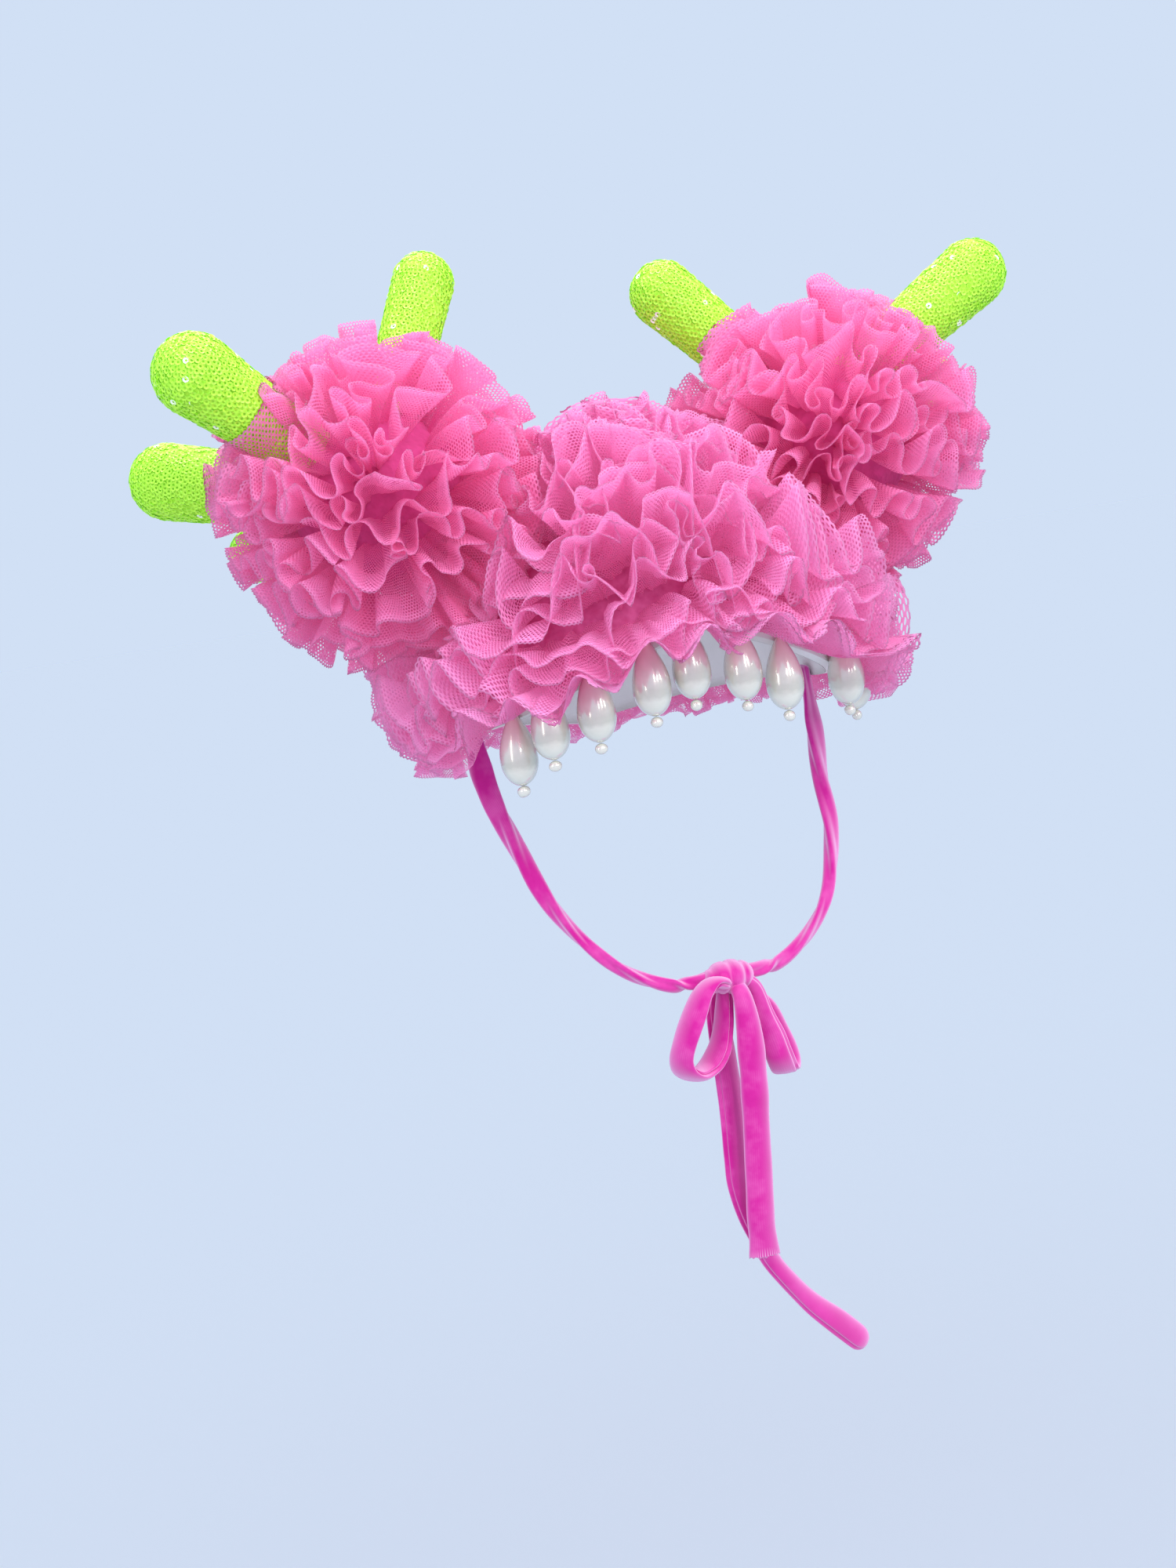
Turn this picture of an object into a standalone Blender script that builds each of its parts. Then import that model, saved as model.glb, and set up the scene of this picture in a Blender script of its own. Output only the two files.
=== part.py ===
"""Antler headpiece: a felt cap covered in gathered net, with a ruffled antler on each side, sequinned tines,
a row of drop pearls along the front rim and a velvet tie with a bow.

Metres, +Z up. The wearer faces -Y, so +X is the wearer's left. The origin is the inside top of the crown.
A bearing is an angle round the cap from the front, positive towards the wearer's right.
"""

import math

import bmesh
import bpy
import numpy as np
from mathutils import Vector

MM = 0.001
GAP = 0.3 * MM  # between pieces that touch

# Felt cap: an ellipsoid dome with a rim that arches over the forehead
CAP_INNER = Vector((89, 101, 100)) * MM  # half width, half depth, height
CAP_CENTRE = Vector((0, 0, -100)) * MM
CAP_WALL = 5 * MM
CAP_COLUMNS = 36
CAP_ROWS = 7
RIM_FRONT = -62 * MM
RIM_TEMPLE_DROP = 36 * MM
RIM_NAPE_DROP = 14 * MM
RIM_CURVE = 1.18  # how fast the rim falls from the forehead to the temple

# Net ruffles: tiers of gathers, each a frilled crest over a valley
CAP_TIERS = 6
CAP_FRILL_COLUMNS = 72
CAP_CREST = 39 * MM
CAP_VALLEY = 26 * MM
CAP_CROWN = 38 * MM
CAP_HEM_DROP = 5 * MM  # the lowest tier hangs this far below the rim
CAP_UNDERSIDE = 0.74  # under the hem the net starts this far down the wall
HEM_TUCK = 0.5  # at the back the lowest tier is shorter by this share
HEM_TUCK_FROM = 70  # bearings in degrees between which the hem shortens
HEM_TUCK_TO = 108
ANTLER_TIERS = 5
ANTLER_FRILL_COLUMNS = 40
ANTLER_CREST = 71 * MM
ANTLER_VALLEY = 60 * MM
ANTLER_POLE = 52 * MM
ANTLER_FRILL_SHARE = 0.66  # the rest of the ball sinks into the cap's ruffles and is smooth
ANTLER_SEAT = 67 * MM  # radius of that smooth part
ANTLER_SEAT_RINGS = (0.74, 0.83, 0.92)  # shares of the way to the far pole
FRILL = 4 * MM  # a gather's fold stands this far in or out of its crest
FRILL_SPREAD = 0.35  # hand-made difference between folds, as a share of the frill
FRILL_LEAN = 0.16  # a fold leans this share of a tier up or down
VALLEY_SHARE = 0.3  # the valley lies this share of a tier past its crest
VALLEY_FRILL = 0.3  # and folds this much as far in and out
TIER_WANDER = 0.25  # a hand-sewn tier strays up and down by this share of a tier
ANTLER_CLEARANCE = 1.012  # the hollow in the cap's ruffles, as a scale of the antler
SEEDS = {"cap": 3, "right": 11, "left": 12}  # of the differences between folds

# The two antlers' centres
ANTLERS = {"right": Vector((-112.5, -10, 15)) * MM, "left": Vector((110, -10, 12)) * MM}

# Tines: side, name, centre of the round tip (x, y, z), middle of the root (x, y, z), radius at the root,
# radius at the tip, all in mm
TINES = (
    ("right", "inner", (-71.9, 12, 113), (-101.7, -2.4, 49.7), 13.0, 14.4),
    ("right", "main", (-187.8, -30, 77.8), (-144.2, -19.5, 41.3), 13.0, 18.3),
    ("right", "outer", (-200.5, 45, 39.6), (-148.3, 10.4, 24.8), 16.0, 18.0),
    ("right", "rear", (-162.5, 66, 1), (-139, 36, 0), 12.0, 13.5),
    ("left", "inner", (46, 12, 96.5), (92.2, -2.3, 44.7), 13.5, 16.0),
    ("left", "main", (190, -30, 84), (135, -18, 48), 13.7, 16.8),
    ("left", "outer", (194.3, 45, 43.8), (146.8, 11.2, 27.3), 15.0, 17.5),
    ("left", "rear", (162, 66, 2), (139, 36, 1), 12.0, 13.5),
)
TINE_SIDES = 12
TIP_ARC_STEPS = 3

# Drop pearls: bearing in degrees, height of the lowest point in mm
PEARLS = (
    (54.9, -119.6),
    (43.5, -108.9),
    (31.1, -103.6),
    (16.2, -95.7),
    (4.7, -91.3),
    (-10.3, -95.7),
    (-23.3, -103.5),
    (-50.6, -108.7),
    (-66.0, -114.5),
)
PEARL_RADIUS = 8.5 * MM
PEARL_LENGTH = 34 * MM
PEARL_BELLY = 12 * MM  # height of the widest part
PEARL_TAPER = 0.85
PEARL_SIDES = 12
BEAD_RADIUS = 2.4 * MM
BEAD_SIDES = 8

# Velvet tube, 13 mm wide when it lies flat
STRAP_WIDTH = 13 * MM
STRAP_THICKNESS = 5.5 * MM
STRAP_SIDES = 8
KNOT_CENTRE = Vector((4, -61, -225)) * MM
KNOT_HALF = Vector((12, 9, 8)) * MM
KNOT_COLUMNS = 10
KNOT_ROWS = 6

# Straps: x, y, z in mm, direction of the flat width in degrees from +X, width as a share of the full width
TIE = (
    (-85.0, -4, -92, 90, 0.9),
    (-85.5, -5, -108, 120, 0.9),
    (-84.0, -8, -122, 150, 0.8),
    (-79.5, -16, -142, 163, 0.65),
    (-72.5, -32, -170, 163, 0.6),
    (-60.0, -46, -196, 163, 0.45),
    (-41.3, -54, -215, 163, 0.45),
    (-22.0, -57, -224.5, 163, 0.5),
    (-2.0, -60, -223.5, 163, 0.55),
)
BOW_LOOP_RIGHT = (
    (1.5, -68.5, -227, -50, 0.6),
    (-6, -70, -224, -50, 0.75),
    (-12.5, -71, -227.5, -50, 0.85),
    (-19, -72, -237, -50, 1.0),
    (-25, -72, -248, -50, 1.0),
    (-27.5, -71, -256, -50, 1.0),
    (-26, -70, -262, -50, 1.0),
    (-20, -68, -265.5, -50, 1.0),
    (-12.5, -65, -263.5, -50, 1.0),
    (-6.3, -64, -256.6, -50, 0.95),
    (-2.7, -63, -247.6, -50, 0.85),
    (-0.6, -62, -239.5, -50, 0.75),
    (2, -60, -229, -38, 0.55),
)
BOW_LOOP_LEFT = (
    (10, -64, -226, -10, 0.5),
    (15.2, -63.5, -232.5, -10, 0.62),
    (17.6, -64.5, -245.5, -10, 0.8),
    (20.4, -64.5, -257, -10, 0.95),
    (22.8, -64.5, -267.6, -10, 1.0),
    (26, -61, -274, -10, 1.0),
    (28.9, -57, -270.4, -10, 1.0),
    (26.2, -56, -257.3, -10, 0.9),
    (22.8, -56, -245.4, -10, 0.75),
    (17, -55.5, -237.5, -10, 0.6),
    (9.5, -57, -229, -10, 0.5),
)
TAIL_FRONT = (
    (5, -66, -227, -8, 0.6),
    (6.3, -70, -234, -8, 0.72),
    (6.8, -71, -248.5, -8, 0.92),
    (6.2, -71, -266.7, -8, 1.0),
    (5, -70.5, -284.8, -8, 1.0),
    (3.5, -70, -303, -8, 1.0),
    (2, -69.5, -321.3, -8, 1.0),
    (0.4, -69, -339.5, -8, 1.0),
    (0.2, -68.5, -351, -8, 1.05),
    (0.1, -68, -357, -8, 1.12),
)
TAIL_BACK = (
    (0.5, -54.5, -227, 10, 0.55),
    (-1, -51.5, -240, 10, 0.75),
    (-1.2, -53.5, -258, 10, 0.95),
    (-1.6, -56, -286.6, 10, 1.0),
    (-3.3, -57, -311.2, 10, 1.0),
    (-3.5, -57, -323.8, 10, 1.0),
    (-1.4, -57, -338.2, 10, 0.95),
    (2.5, -57, -351.9, 10, 0.85),
    (6.5, -57.5, -365, 10, 0.75),
    (13.5, -58, -377, 10, 0.7),
    (24, -58, -391.6, 10, 0.8),
    (36.9, -58.5, -405.4, 10, 0.95),
    (49, -59, -419, 10, 0.95),
)

MODEL = "antler_headpiece"
COLOURS = {  # base colour, roughness
    "felt_white": ((0.86, 0.82, 0.80), 0.95),
    "net_pink": ((0.86, 0.16, 0.42), 0.80),
    "sequin_lime": ((0.42, 0.95, 0.02), 0.40),
    "pearl_ivory": ((0.84, 0.81, 0.74), 0.18),
    "bead_white": ((0.90, 0.89, 0.85), 0.25),
    "velvet_magenta": ((0.74, 0.05, 0.45), 0.85),
}


def clear_scene():
    for old in list(bpy.data.objects):
        bpy.data.objects.remove(old, do_unlink=True)


def make_collection(name):
    made = bpy.data.collections.new(name)
    bpy.context.scene.collection.children.link(made)
    return made


def make_material(name):
    colour, roughness = COLOURS[name]
    made = bpy.data.materials.new(name)
    made.use_nodes = True
    shader = made.node_tree.nodes["Principled BSDF"]
    shader.inputs["Base Color"].default_value = (*colour, 1)
    shader.inputs["Roughness"].default_value = roughness
    shader.inputs["Metallic"].default_value = 0
    return made


def add_object(name, mesh, collection, material=None, smooth=False):
    made = bpy.data.objects.new(name, mesh)
    collection.objects.link(made)
    if material:
        mesh.materials.clear()
        mesh.materials.append(material)
    if smooth:
        mesh.shade_smooth()
        mesh.set_sharp_from_angle(angle=math.radians(40))
    return made


def add_cutter(name, mesh, collection):
    made = add_object(name, mesh, collection)
    made.hide_render = True
    made.display_type = "WIRE"
    return made


def mesh_from(name, bm):
    mesh = bpy.data.meshes.new(name)
    bm.to_mesh(mesh)
    bm.free()
    return mesh


def largest_body(mesh):
    """Keeps the biggest connected body of a mesh, so that a cut leaves no loose crumbs."""
    bm = bmesh.new()
    bm.from_mesh(mesh)
    bodies = []
    unseen = set(bm.verts)
    while unseen:
        body = set()
        front = [unseen.pop()]
        while front:
            vertex = front.pop()
            body.add(vertex)
            near = [edge.other_vert(vertex) for edge in vertex.link_edges]
            front += [other for other in near if other in unseen]
            unseen.difference_update(near)
        bodies.append(body)
    bodies.sort(key=len)
    crumbs = [vertex for body in bodies[:-1] for vertex in body]
    bmesh.ops.delete(bm, geom=crumbs, context="VERTS")
    bm.to_mesh(mesh)
    bm.free()


def carve(piece, cutters):
    """Cuts the cutters out of a piece and keeps the result as its mesh."""
    for cutter in cutters:
        cut = piece.modifiers.new("cut_" + cutter.name, "BOOLEAN")
        cut.operation = "DIFFERENCE"
        cut.object = cutter
    bpy.context.view_layer.update()
    evaluated = piece.evaluated_get(bpy.context.evaluated_depsgraph_get())
    mesh = bpy.data.meshes.new_from_object(evaluated)
    piece.modifiers.clear()
    piece.data = mesh
    largest_body(mesh)


def turned(name, profile, sides):
    """A mesh turned about Z from a profile of (radius, height) that runs down its outer side."""
    mesh = bpy.data.meshes.new(name)
    points = [(radius, 0, height) for radius, height in profile]
    mesh.from_pydata(points, [(i, i + 1) for i in range(len(points) - 1)], [])
    holder = bpy.data.objects.new(name + "_profile", mesh)
    bpy.context.scene.collection.objects.link(holder)
    screw = holder.modifiers.new("turn", "SCREW")
    screw.steps = sides
    screw.render_steps = sides
    screw.use_merge_vertices = True
    screw.merge_threshold = 0.01 * MM
    bpy.context.view_layer.update()
    evaluated = holder.evaluated_get(bpy.context.evaluated_depsgraph_get())
    made = bpy.data.meshes.new_from_object(evaluated)
    made.name = name
    bpy.data.objects.remove(holder)
    return made


def rim_height(bearing):
    """Height of the cap's inner rim: lowest at the nape, arched over the forehead."""
    side = abs(math.sin(bearing))
    if math.cos(bearing) > 0:
        return RIM_FRONT - RIM_TEMPLE_DROP * side**RIM_CURVE
    return RIM_FRONT - RIM_TEMPLE_DROP - RIM_NAPE_DROP * (1 - side)


def rim_polar(bearing):
    """Angle from the crown down to the rim."""
    return math.acos((rim_height(bearing) - CAP_CENTRE.z) / CAP_INNER.z)


def on_cap(offset, polar, bearing):
    """Point at an offset outside the cap's inner face."""
    half = CAP_INNER + Vector((offset, offset, offset))
    level = math.sin(polar)
    x = -half.x * level * math.sin(bearing)
    y = -half.y * level * math.cos(bearing)
    return CAP_CENTRE + Vector((x, y, half.z * math.cos(polar)))


def polar_and_bearing(point):
    """Angles of a vertex of a unit sphere."""
    return math.acos(max(-1, min(1, point.z))), math.atan2(-point.x, -point.y)


def cap_dome(name, offset, whole):
    """The dome at an offset from the cap's inner face: down to the rim, or a whole closed ellipsoid."""
    bm = bmesh.new()
    bmesh.ops.create_uvsphere(bm, u_segments=CAP_COLUMNS, v_segments=2 * CAP_ROWS, radius=1)
    if not whole:
        below = [vertex for vertex in bm.verts if vertex.co.z < -0.01]
        bmesh.ops.delete(bm, geom=below, context="VERTS")
    for vertex in bm.verts:
        polar, bearing = polar_and_bearing(vertex.co)
        rim = rim_polar(bearing)
        share = polar / (math.pi / 2)
        mapped = share * rim if share <= 1 else rim + (share - 1) * (math.pi - rim)
        vertex.co = on_cap(offset, mapped, bearing)
    bmesh.ops.triangulate(bm, faces=bm.faces, quad_method="FIXED")  # so that offset domes stay parallel
    return mesh_from(name, bm)


def cap_shell_mesh():
    """The felt dome: its outer face, its inner face and the rim between them."""
    bm = bmesh.new()
    bm.from_mesh(cap_dome("cap_inside", 0, whole=False))
    bmesh.ops.reverse_faces(bm, faces=bm.faces)
    bm.from_mesh(cap_dome("cap_outside", CAP_WALL, whole=False))
    rims = [edge for edge in bm.edges if edge.is_boundary]
    bmesh.ops.bridge_loops(bm, edges=rims)
    return mesh_from("cap_shell", bm)


def tier_rings(tiers, crest, valley, last_share):
    """Rings from pole to hem: share of the way, height, and how much of the frill and wander it takes."""
    rings = []
    for tier in range(1, tiers + 1):
        share = last_share * tier / tiers
        wander = 0 if tier == tiers else 1
        rings.append((share, crest, 1.0, wander))
        if tier < tiers:
            rings.append((share + VALLEY_SHARE * last_share / tiers, valley, VALLEY_FRILL, wander))
    return rings


def ruffled_ball(name, columns, pitch, rings, poles, place, seed):
    """A ball whose rings are crests and valleys of gathers.

    place(share, height, bearing) gives a point; pitch is the share between tiers; poles are the
    (share, height) of the two ends.
    """
    spread = np.random.RandomState(seed)
    bm = bmesh.new()
    bmesh.ops.create_uvsphere(bm, u_segments=columns, v_segments=len(rings) + 1, radius=1)
    last = len(rings) + 1
    for vertex in sorted(bm.verts, key=lambda v: v.index):
        polar, bearing = polar_and_bearing(vertex.co)
        row = round(polar / math.pi * last)
        if row in (0, last):
            vertex.co = place(*poles[row == last], 0)
            continue
        share, height, frill, wander = rings[row - 1]
        fold = 1 if round(bearing / (2 * math.pi) * columns) % 2 else -1
        fold *= frill * (1 + FRILL_SPREAD * spread.uniform(-1, 1))
        tier = (row + 1) // 2
        stray = wander * TIER_WANDER * math.sin((2 + tier % 3) * bearing + tier * 2)
        share += (fold * FRILL_LEAN + stray) * pitch
        vertex.co = place(share, height + FRILL * fold, bearing)
    bmesh.ops.triangulate(bm, faces=bm.faces)  # the folded faces aren't flat, and copies must agree
    return mesh_from(name, bm)


def hem_length(share, bearing):
    """Length of the gathers as a share: full, but for the lowest tier at the sides and back."""
    turned_back = (abs(math.degrees(bearing)) - HEM_TUCK_FROM) / (HEM_TUCK_TO - HEM_TUCK_FROM)
    low = max(0, 1 - (1 - share) * CAP_TIERS)
    return 1 - HEM_TUCK * low * max(0, min(1, turned_back))


def cap_ruffle_mesh():
    def place(share, height, bearing):
        if height > CAP_VALLEY:
            height *= hem_length(share, bearing)
        above_centre = rim_height(bearing) - CAP_HEM_DROP - CAP_CENTRE.z
        hem_polar = math.acos(above_centre / max(CAP_INNER.z, CAP_INNER.z + CAP_WALL + height))
        return on_cap(CAP_WALL + height, share * hem_polar, bearing)

    rings = tier_rings(CAP_TIERS, CAP_CREST, CAP_VALLEY, 1)
    rings.append((CAP_UNDERSIDE, -CAP_WALL, 0, 0))
    centre = -CAP_WALL - CAP_INNER.z
    poles = ((0, CAP_CROWN), (0, centre))
    return ruffled_ball("cap_ruffles", CAP_FRILL_COLUMNS, 1 / CAP_TIERS, rings, poles, place, SEEDS["cap"])


def antler_mesh(side):
    """The antler's ruffled ball about its own centre, with its poles on the main tine's line."""
    main = next(tine for tine in TINES if tine[:2] == (side, "main"))
    turn = (Vector(main[2]) * MM - ANTLERS[side]).to_track_quat("Z", "Y")

    def place(share, height, bearing):
        polar = share * math.pi
        level = math.sin(polar)
        out = Vector((-level * math.sin(bearing), -level * math.cos(bearing), math.cos(polar)))
        return turn @ (out * height)

    rings = tier_rings(ANTLER_TIERS, ANTLER_CREST, ANTLER_VALLEY, ANTLER_FRILL_SHARE)
    rings += [(share, ANTLER_SEAT, 0, 0) for share in ANTLER_SEAT_RINGS]
    poles = ((0, ANTLER_POLE), (1, ANTLER_SEAT))
    pitch = ANTLER_FRILL_SHARE / ANTLER_TIERS
    return ruffled_ball("antler_" + side, ANTLER_FRILL_COLUMNS, pitch, rings, poles, place, SEEDS[side])


def tine_mesh(name, reach, root, tip, spare=0.0):
    """A stuffed club from its root up to a round tip whose centre is at reach. spare makes it fatter."""
    arc = [math.pi / 2 * step / TIP_ARC_STEPS for step in range(TIP_ARC_STEPS + 1)]
    outer = tip + spare
    profile = [(outer * math.sin(a), reach + outer * math.cos(a)) for a in arc]
    profile.append(((root + tip) / 2 + spare, reach / 2))
    profile.append((root + spare, -spare))
    profile.append((0, -spare))
    return turned(name, profile, TINE_SIDES)


def pearl_radius(height):
    """Radius of the drop at a height above its lowest point."""
    if height < PEARL_BELLY:
        return PEARL_RADIUS * math.sqrt(max(0, 1 - (1 - height / PEARL_BELLY) ** 2))
    share = (height - PEARL_BELLY) / (PEARL_LENGTH - PEARL_BELLY)
    return PEARL_RADIUS * max(0, math.cos(math.pi / 2 * share)) ** PEARL_TAPER


def pearl_mesh(name):
    """The drop, hanging with its lowest point at zero height."""
    levels = [1.0, 0.94, 0.78, 0.58, PEARL_BELLY / PEARL_LENGTH, 0.14, 0.03, 0.0]
    heights = [PEARL_LENGTH * level for level in levels]
    profile = [(pearl_radius(height), height) for height in heights]
    return turned(name, profile, PEARL_SIDES)


def bead_mesh(name):
    """A round bead whose top is at zero height."""
    angles = [math.pi * step / 4 for step in range(5)]
    profile = [(BEAD_RADIUS * math.sin(a), BEAD_RADIUS * (math.cos(a) - 1)) for a in angles]
    return turned(name, profile, BEAD_SIDES)


def knot_mesh(name, spare=0.0):
    bm = bmesh.new()
    bmesh.ops.create_uvsphere(bm, u_segments=KNOT_COLUMNS, v_segments=KNOT_ROWS, radius=1)
    size = [half + spare for half in KNOT_HALF]
    bmesh.ops.scale(bm, verts=bm.verts, vec=size)
    bmesh.ops.translate(bm, verts=bm.verts, vec=KNOT_CENTRE)
    return mesh_from(name, bm)


def mirrored(rows):
    """A strap's rows for the other side of the head, led to the same knot."""
    across = 2 * KNOT_CENTRE.x / MM
    made = []
    for x, y, z, facing, width in rows:
        near_knot = max(0.0, (TIE[0][2] - z) / (TIE[0][2] - KNOT_CENTRE.z / MM))
        made.append((-x + across * near_knot, y, z, 180 - facing, width))
    return made


def smooth_rows(rows, count):
    """Evenly spaced rows on a smooth curve through the given rows."""
    given = np.array(rows, float)
    ends = np.vstack([2 * given[0] - given[1], given, 2 * given[-1] - given[-2]])
    fine = []
    for i in range(len(given) - 1):
        before, start, end, after = ends[i : i + 4]
        for t in np.linspace(0, 1, 12, endpoint=False):
            bend = 2 * before - 5 * start + 4 * end - after
            twist = -before + 3 * start - 3 * end + after
            fine.append(start + 0.5 * t * (end - before) + 0.5 * t * t * bend + 0.5 * t**3 * twist)
    fine.append(given[-1])
    fine = np.array(fine)
    steps = np.linalg.norm(np.diff(fine[:, :3], axis=0), axis=1)
    along = np.concatenate([[0], np.cumsum(steps)])
    places = np.linspace(0, along[-1], count)
    return np.column_stack([np.interp(places, along, column) for column in fine.T])


def strap_mesh(name, rows, count):
    """A flat velvet tube swept along its rows, closed at both ends."""
    rows = smooth_rows(rows, count)
    points = [Vector(row[:3]) * MM for row in rows]
    bm = bmesh.new()
    rings = []
    for i, point in enumerate(points):
        ahead = points[min(i + 1, count - 1)] - points[max(i - 1, 0)]
        ahead.normalize()
        facing = math.radians(rows[i][3])
        across = Vector((math.cos(facing), math.sin(facing), 0))
        across = (across - ahead * across.dot(ahead)).normalized()
        through = ahead.cross(across)
        half = STRAP_WIDTH / 2 * rows[i][4]
        ring = []
        for side in range(STRAP_SIDES):
            angle = 2 * math.pi * (side + 0.5) / STRAP_SIDES
            x = across * half * math.cos(angle) / math.cos(math.pi / STRAP_SIDES)
            y = through * STRAP_THICKNESS / 2 * math.sin(angle) / math.sin(3 * math.pi / STRAP_SIDES)
            ring.append(bm.verts.new(point + x + y))
        rings.append(ring)
    for near, far in zip(rings, rings[1:]):
        for side in range(STRAP_SIDES):
            after = (side + 1) % STRAP_SIDES
            bm.faces.new((near[side], near[after], far[after], far[side]))
    bm.faces.new(rings[0])
    bm.faces.new(rings[-1])
    bmesh.ops.recalc_face_normals(bm, faces=bm.faces)
    return mesh_from(name, bm)


def add_cap(parts, cutters, felt):
    add_object("cap_shell", cap_shell_mesh(), parts, felt, smooth=True)
    return add_cutter("cut_cap", cap_dome("cut_cap", CAP_WALL + GAP, whole=True), cutters)


def add_antler(side, centre, cap_cutter, parts, cutters, net, lime):
    """One antler and its tines. Returns the cutter that hollows the cap's ruffles for it."""
    name = "antler_" + side
    antler = add_object(name, antler_mesh(side), parts, net)
    antler.location = centre
    sockets = []
    for tine_side, tine, tip_centre, root_middle, root, tip in TINES:
        if tine_side != side:
            continue
        line = (Vector(tip_centre) - Vector(root_middle)) * MM
        tine_name = f"tine_{side}_{tine}"
        club = tine_mesh(tine_name, line.length, root * MM, tip * MM)
        hole = tine_mesh("cut_" + tine_name, line.length, root * MM, tip * MM, GAP)
        piece = add_object(tine_name, club, parts, lime, smooth=True)
        socket = add_cutter("cut_" + tine_name, hole, cutters)
        for placed in (piece, socket):
            placed.rotation_mode = "QUATERNION"
            placed.rotation_quaternion = line.to_track_quat("Z", "Y")
            placed.location = Vector(root_middle) * MM
        sockets.append(socket)
    hollow = add_cutter("cut_" + name, antler.data.copy(), cutters)
    hollow.location = centre
    hollow.scale = (ANTLER_CLEARANCE,) * 3
    carve(antler, [cap_cutter, *sockets])
    return hollow


def add_pearls(parts, ivory, white):
    """The pearls, each against the outside of the rim, and their stop beads."""
    for number, (degrees, lowest) in enumerate(PEARLS, 1):
        bearing = math.radians(degrees)
        edge = on_cap(CAP_WALL, rim_polar(bearing), bearing)
        off_wall = pearl_radius(edge.z - lowest * MM) + GAP
        place = on_cap(CAP_WALL + off_wall, rim_polar(bearing), bearing)
        place.z = lowest * MM
        pearl = add_object(f"pearl_{number}", pearl_mesh("pearl"), parts, ivory, True)
        pearl.location = place
        bead = add_object(f"stop_bead_{number}", bead_mesh("stop_bead"), parts, white, True)
        bead.location = place - Vector((0, 0, GAP))


def add_ties(parts, cutters, velvet):
    add_object("knot", knot_mesh("knot"), parts, velvet, smooth=True)
    cutter = add_cutter("cut_knot", knot_mesh("cut_knot", GAP), cutters)
    straps = (
        ("tie_right", TIE, 17),
        ("tie_left", mirrored(TIE), 17),
        ("bow_loop_right", BOW_LOOP_RIGHT, 16),
        ("bow_loop_left", BOW_LOOP_LEFT, 16),
        ("tail_front", TAIL_FRONT, 7),
        ("tail_back", TAIL_BACK, 13),
    )
    for name, rows, count in straps:
        strap = add_object(name, strap_mesh(name, rows, count), parts, velvet, smooth=True)
        carve(strap, [cutter])


def main():
    clear_scene()
    parts = make_collection(MODEL)
    cutters = make_collection("cutters")
    paint = {name: make_material(name) for name in COLOURS}
    cap_cutter = add_cap(parts, cutters, paint["felt_white"])
    ruffles = add_object("cap_ruffles", cap_ruffle_mesh(), parts, paint["net_pink"])
    hollows = [cap_cutter]
    for side, centre in ANTLERS.items():
        net, lime = paint["net_pink"], paint["sequin_lime"]
        hollows.append(add_antler(side, centre, cap_cutter, parts, cutters, net, lime))
    carve(ruffles, hollows)
    add_pearls(parts, paint["pearl_ivory"], paint["bead_white"])
    add_ties(parts, cutters, paint["velvet_magenta"])


main()
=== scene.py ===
import math
from collections import namedtuple

import bpy
import numpy as np
from mathutils import Matrix, Vector


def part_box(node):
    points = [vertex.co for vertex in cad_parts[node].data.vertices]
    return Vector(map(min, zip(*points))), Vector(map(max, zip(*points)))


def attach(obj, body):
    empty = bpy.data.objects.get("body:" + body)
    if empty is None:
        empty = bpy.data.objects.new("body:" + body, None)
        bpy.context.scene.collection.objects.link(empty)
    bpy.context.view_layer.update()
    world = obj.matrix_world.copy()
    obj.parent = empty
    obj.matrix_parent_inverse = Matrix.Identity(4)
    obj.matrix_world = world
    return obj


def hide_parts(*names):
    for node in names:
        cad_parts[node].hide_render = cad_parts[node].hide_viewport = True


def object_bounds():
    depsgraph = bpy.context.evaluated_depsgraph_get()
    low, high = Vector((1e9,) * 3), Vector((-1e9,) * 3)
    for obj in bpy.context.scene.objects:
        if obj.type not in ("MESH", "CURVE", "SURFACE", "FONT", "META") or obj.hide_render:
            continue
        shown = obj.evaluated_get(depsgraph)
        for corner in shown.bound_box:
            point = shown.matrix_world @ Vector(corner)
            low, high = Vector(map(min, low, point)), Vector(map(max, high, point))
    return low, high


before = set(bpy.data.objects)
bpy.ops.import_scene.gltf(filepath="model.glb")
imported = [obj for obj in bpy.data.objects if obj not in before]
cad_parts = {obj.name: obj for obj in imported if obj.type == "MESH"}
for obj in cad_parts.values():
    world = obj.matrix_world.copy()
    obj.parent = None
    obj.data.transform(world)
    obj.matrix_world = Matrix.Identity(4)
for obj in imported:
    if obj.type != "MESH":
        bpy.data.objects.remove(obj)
CAD_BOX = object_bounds()

# Metres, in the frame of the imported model: the wearer faces -Y, +X is the wearer's left, the origin is the inside
# top of the crown. A bearing is an angle round the cap from the front, positive towards the wearer's right.
MM = 0.001
BODY = "root"

# Camera at the photo's angle: angles in degrees, lens and long side of the frame in mm
CAMERA_PLACE = Vector((-0.27101, -0.83435, -0.02556))
CAMERA_AZIMUTH = -16
CAMERA_ELEVATION = 7
CAMERA_ROLL = -8.5
CAMERA_LENS = 41.4
CAMERA_SENSOR = 36
CAMERA_NEAR = 0.01

# Cap: half width, half depth and height inside, its wall, and the course of the rim
CAP_INNER = np.array((89, 101, 100)) * MM
CAP_CENTRE = np.array((0, 0, -100)) * MM
CAP_WALL = 5 * MM
RIM_FRONT = -62 * MM  # its height over the forehead
RIM_TEMPLE_DROP = 36 * MM  # how far it falls from there to the temples
RIM_NAPE_DROP = 14 * MM  # and from the temples to the nape
RIM_CURVE = 1.18

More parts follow.
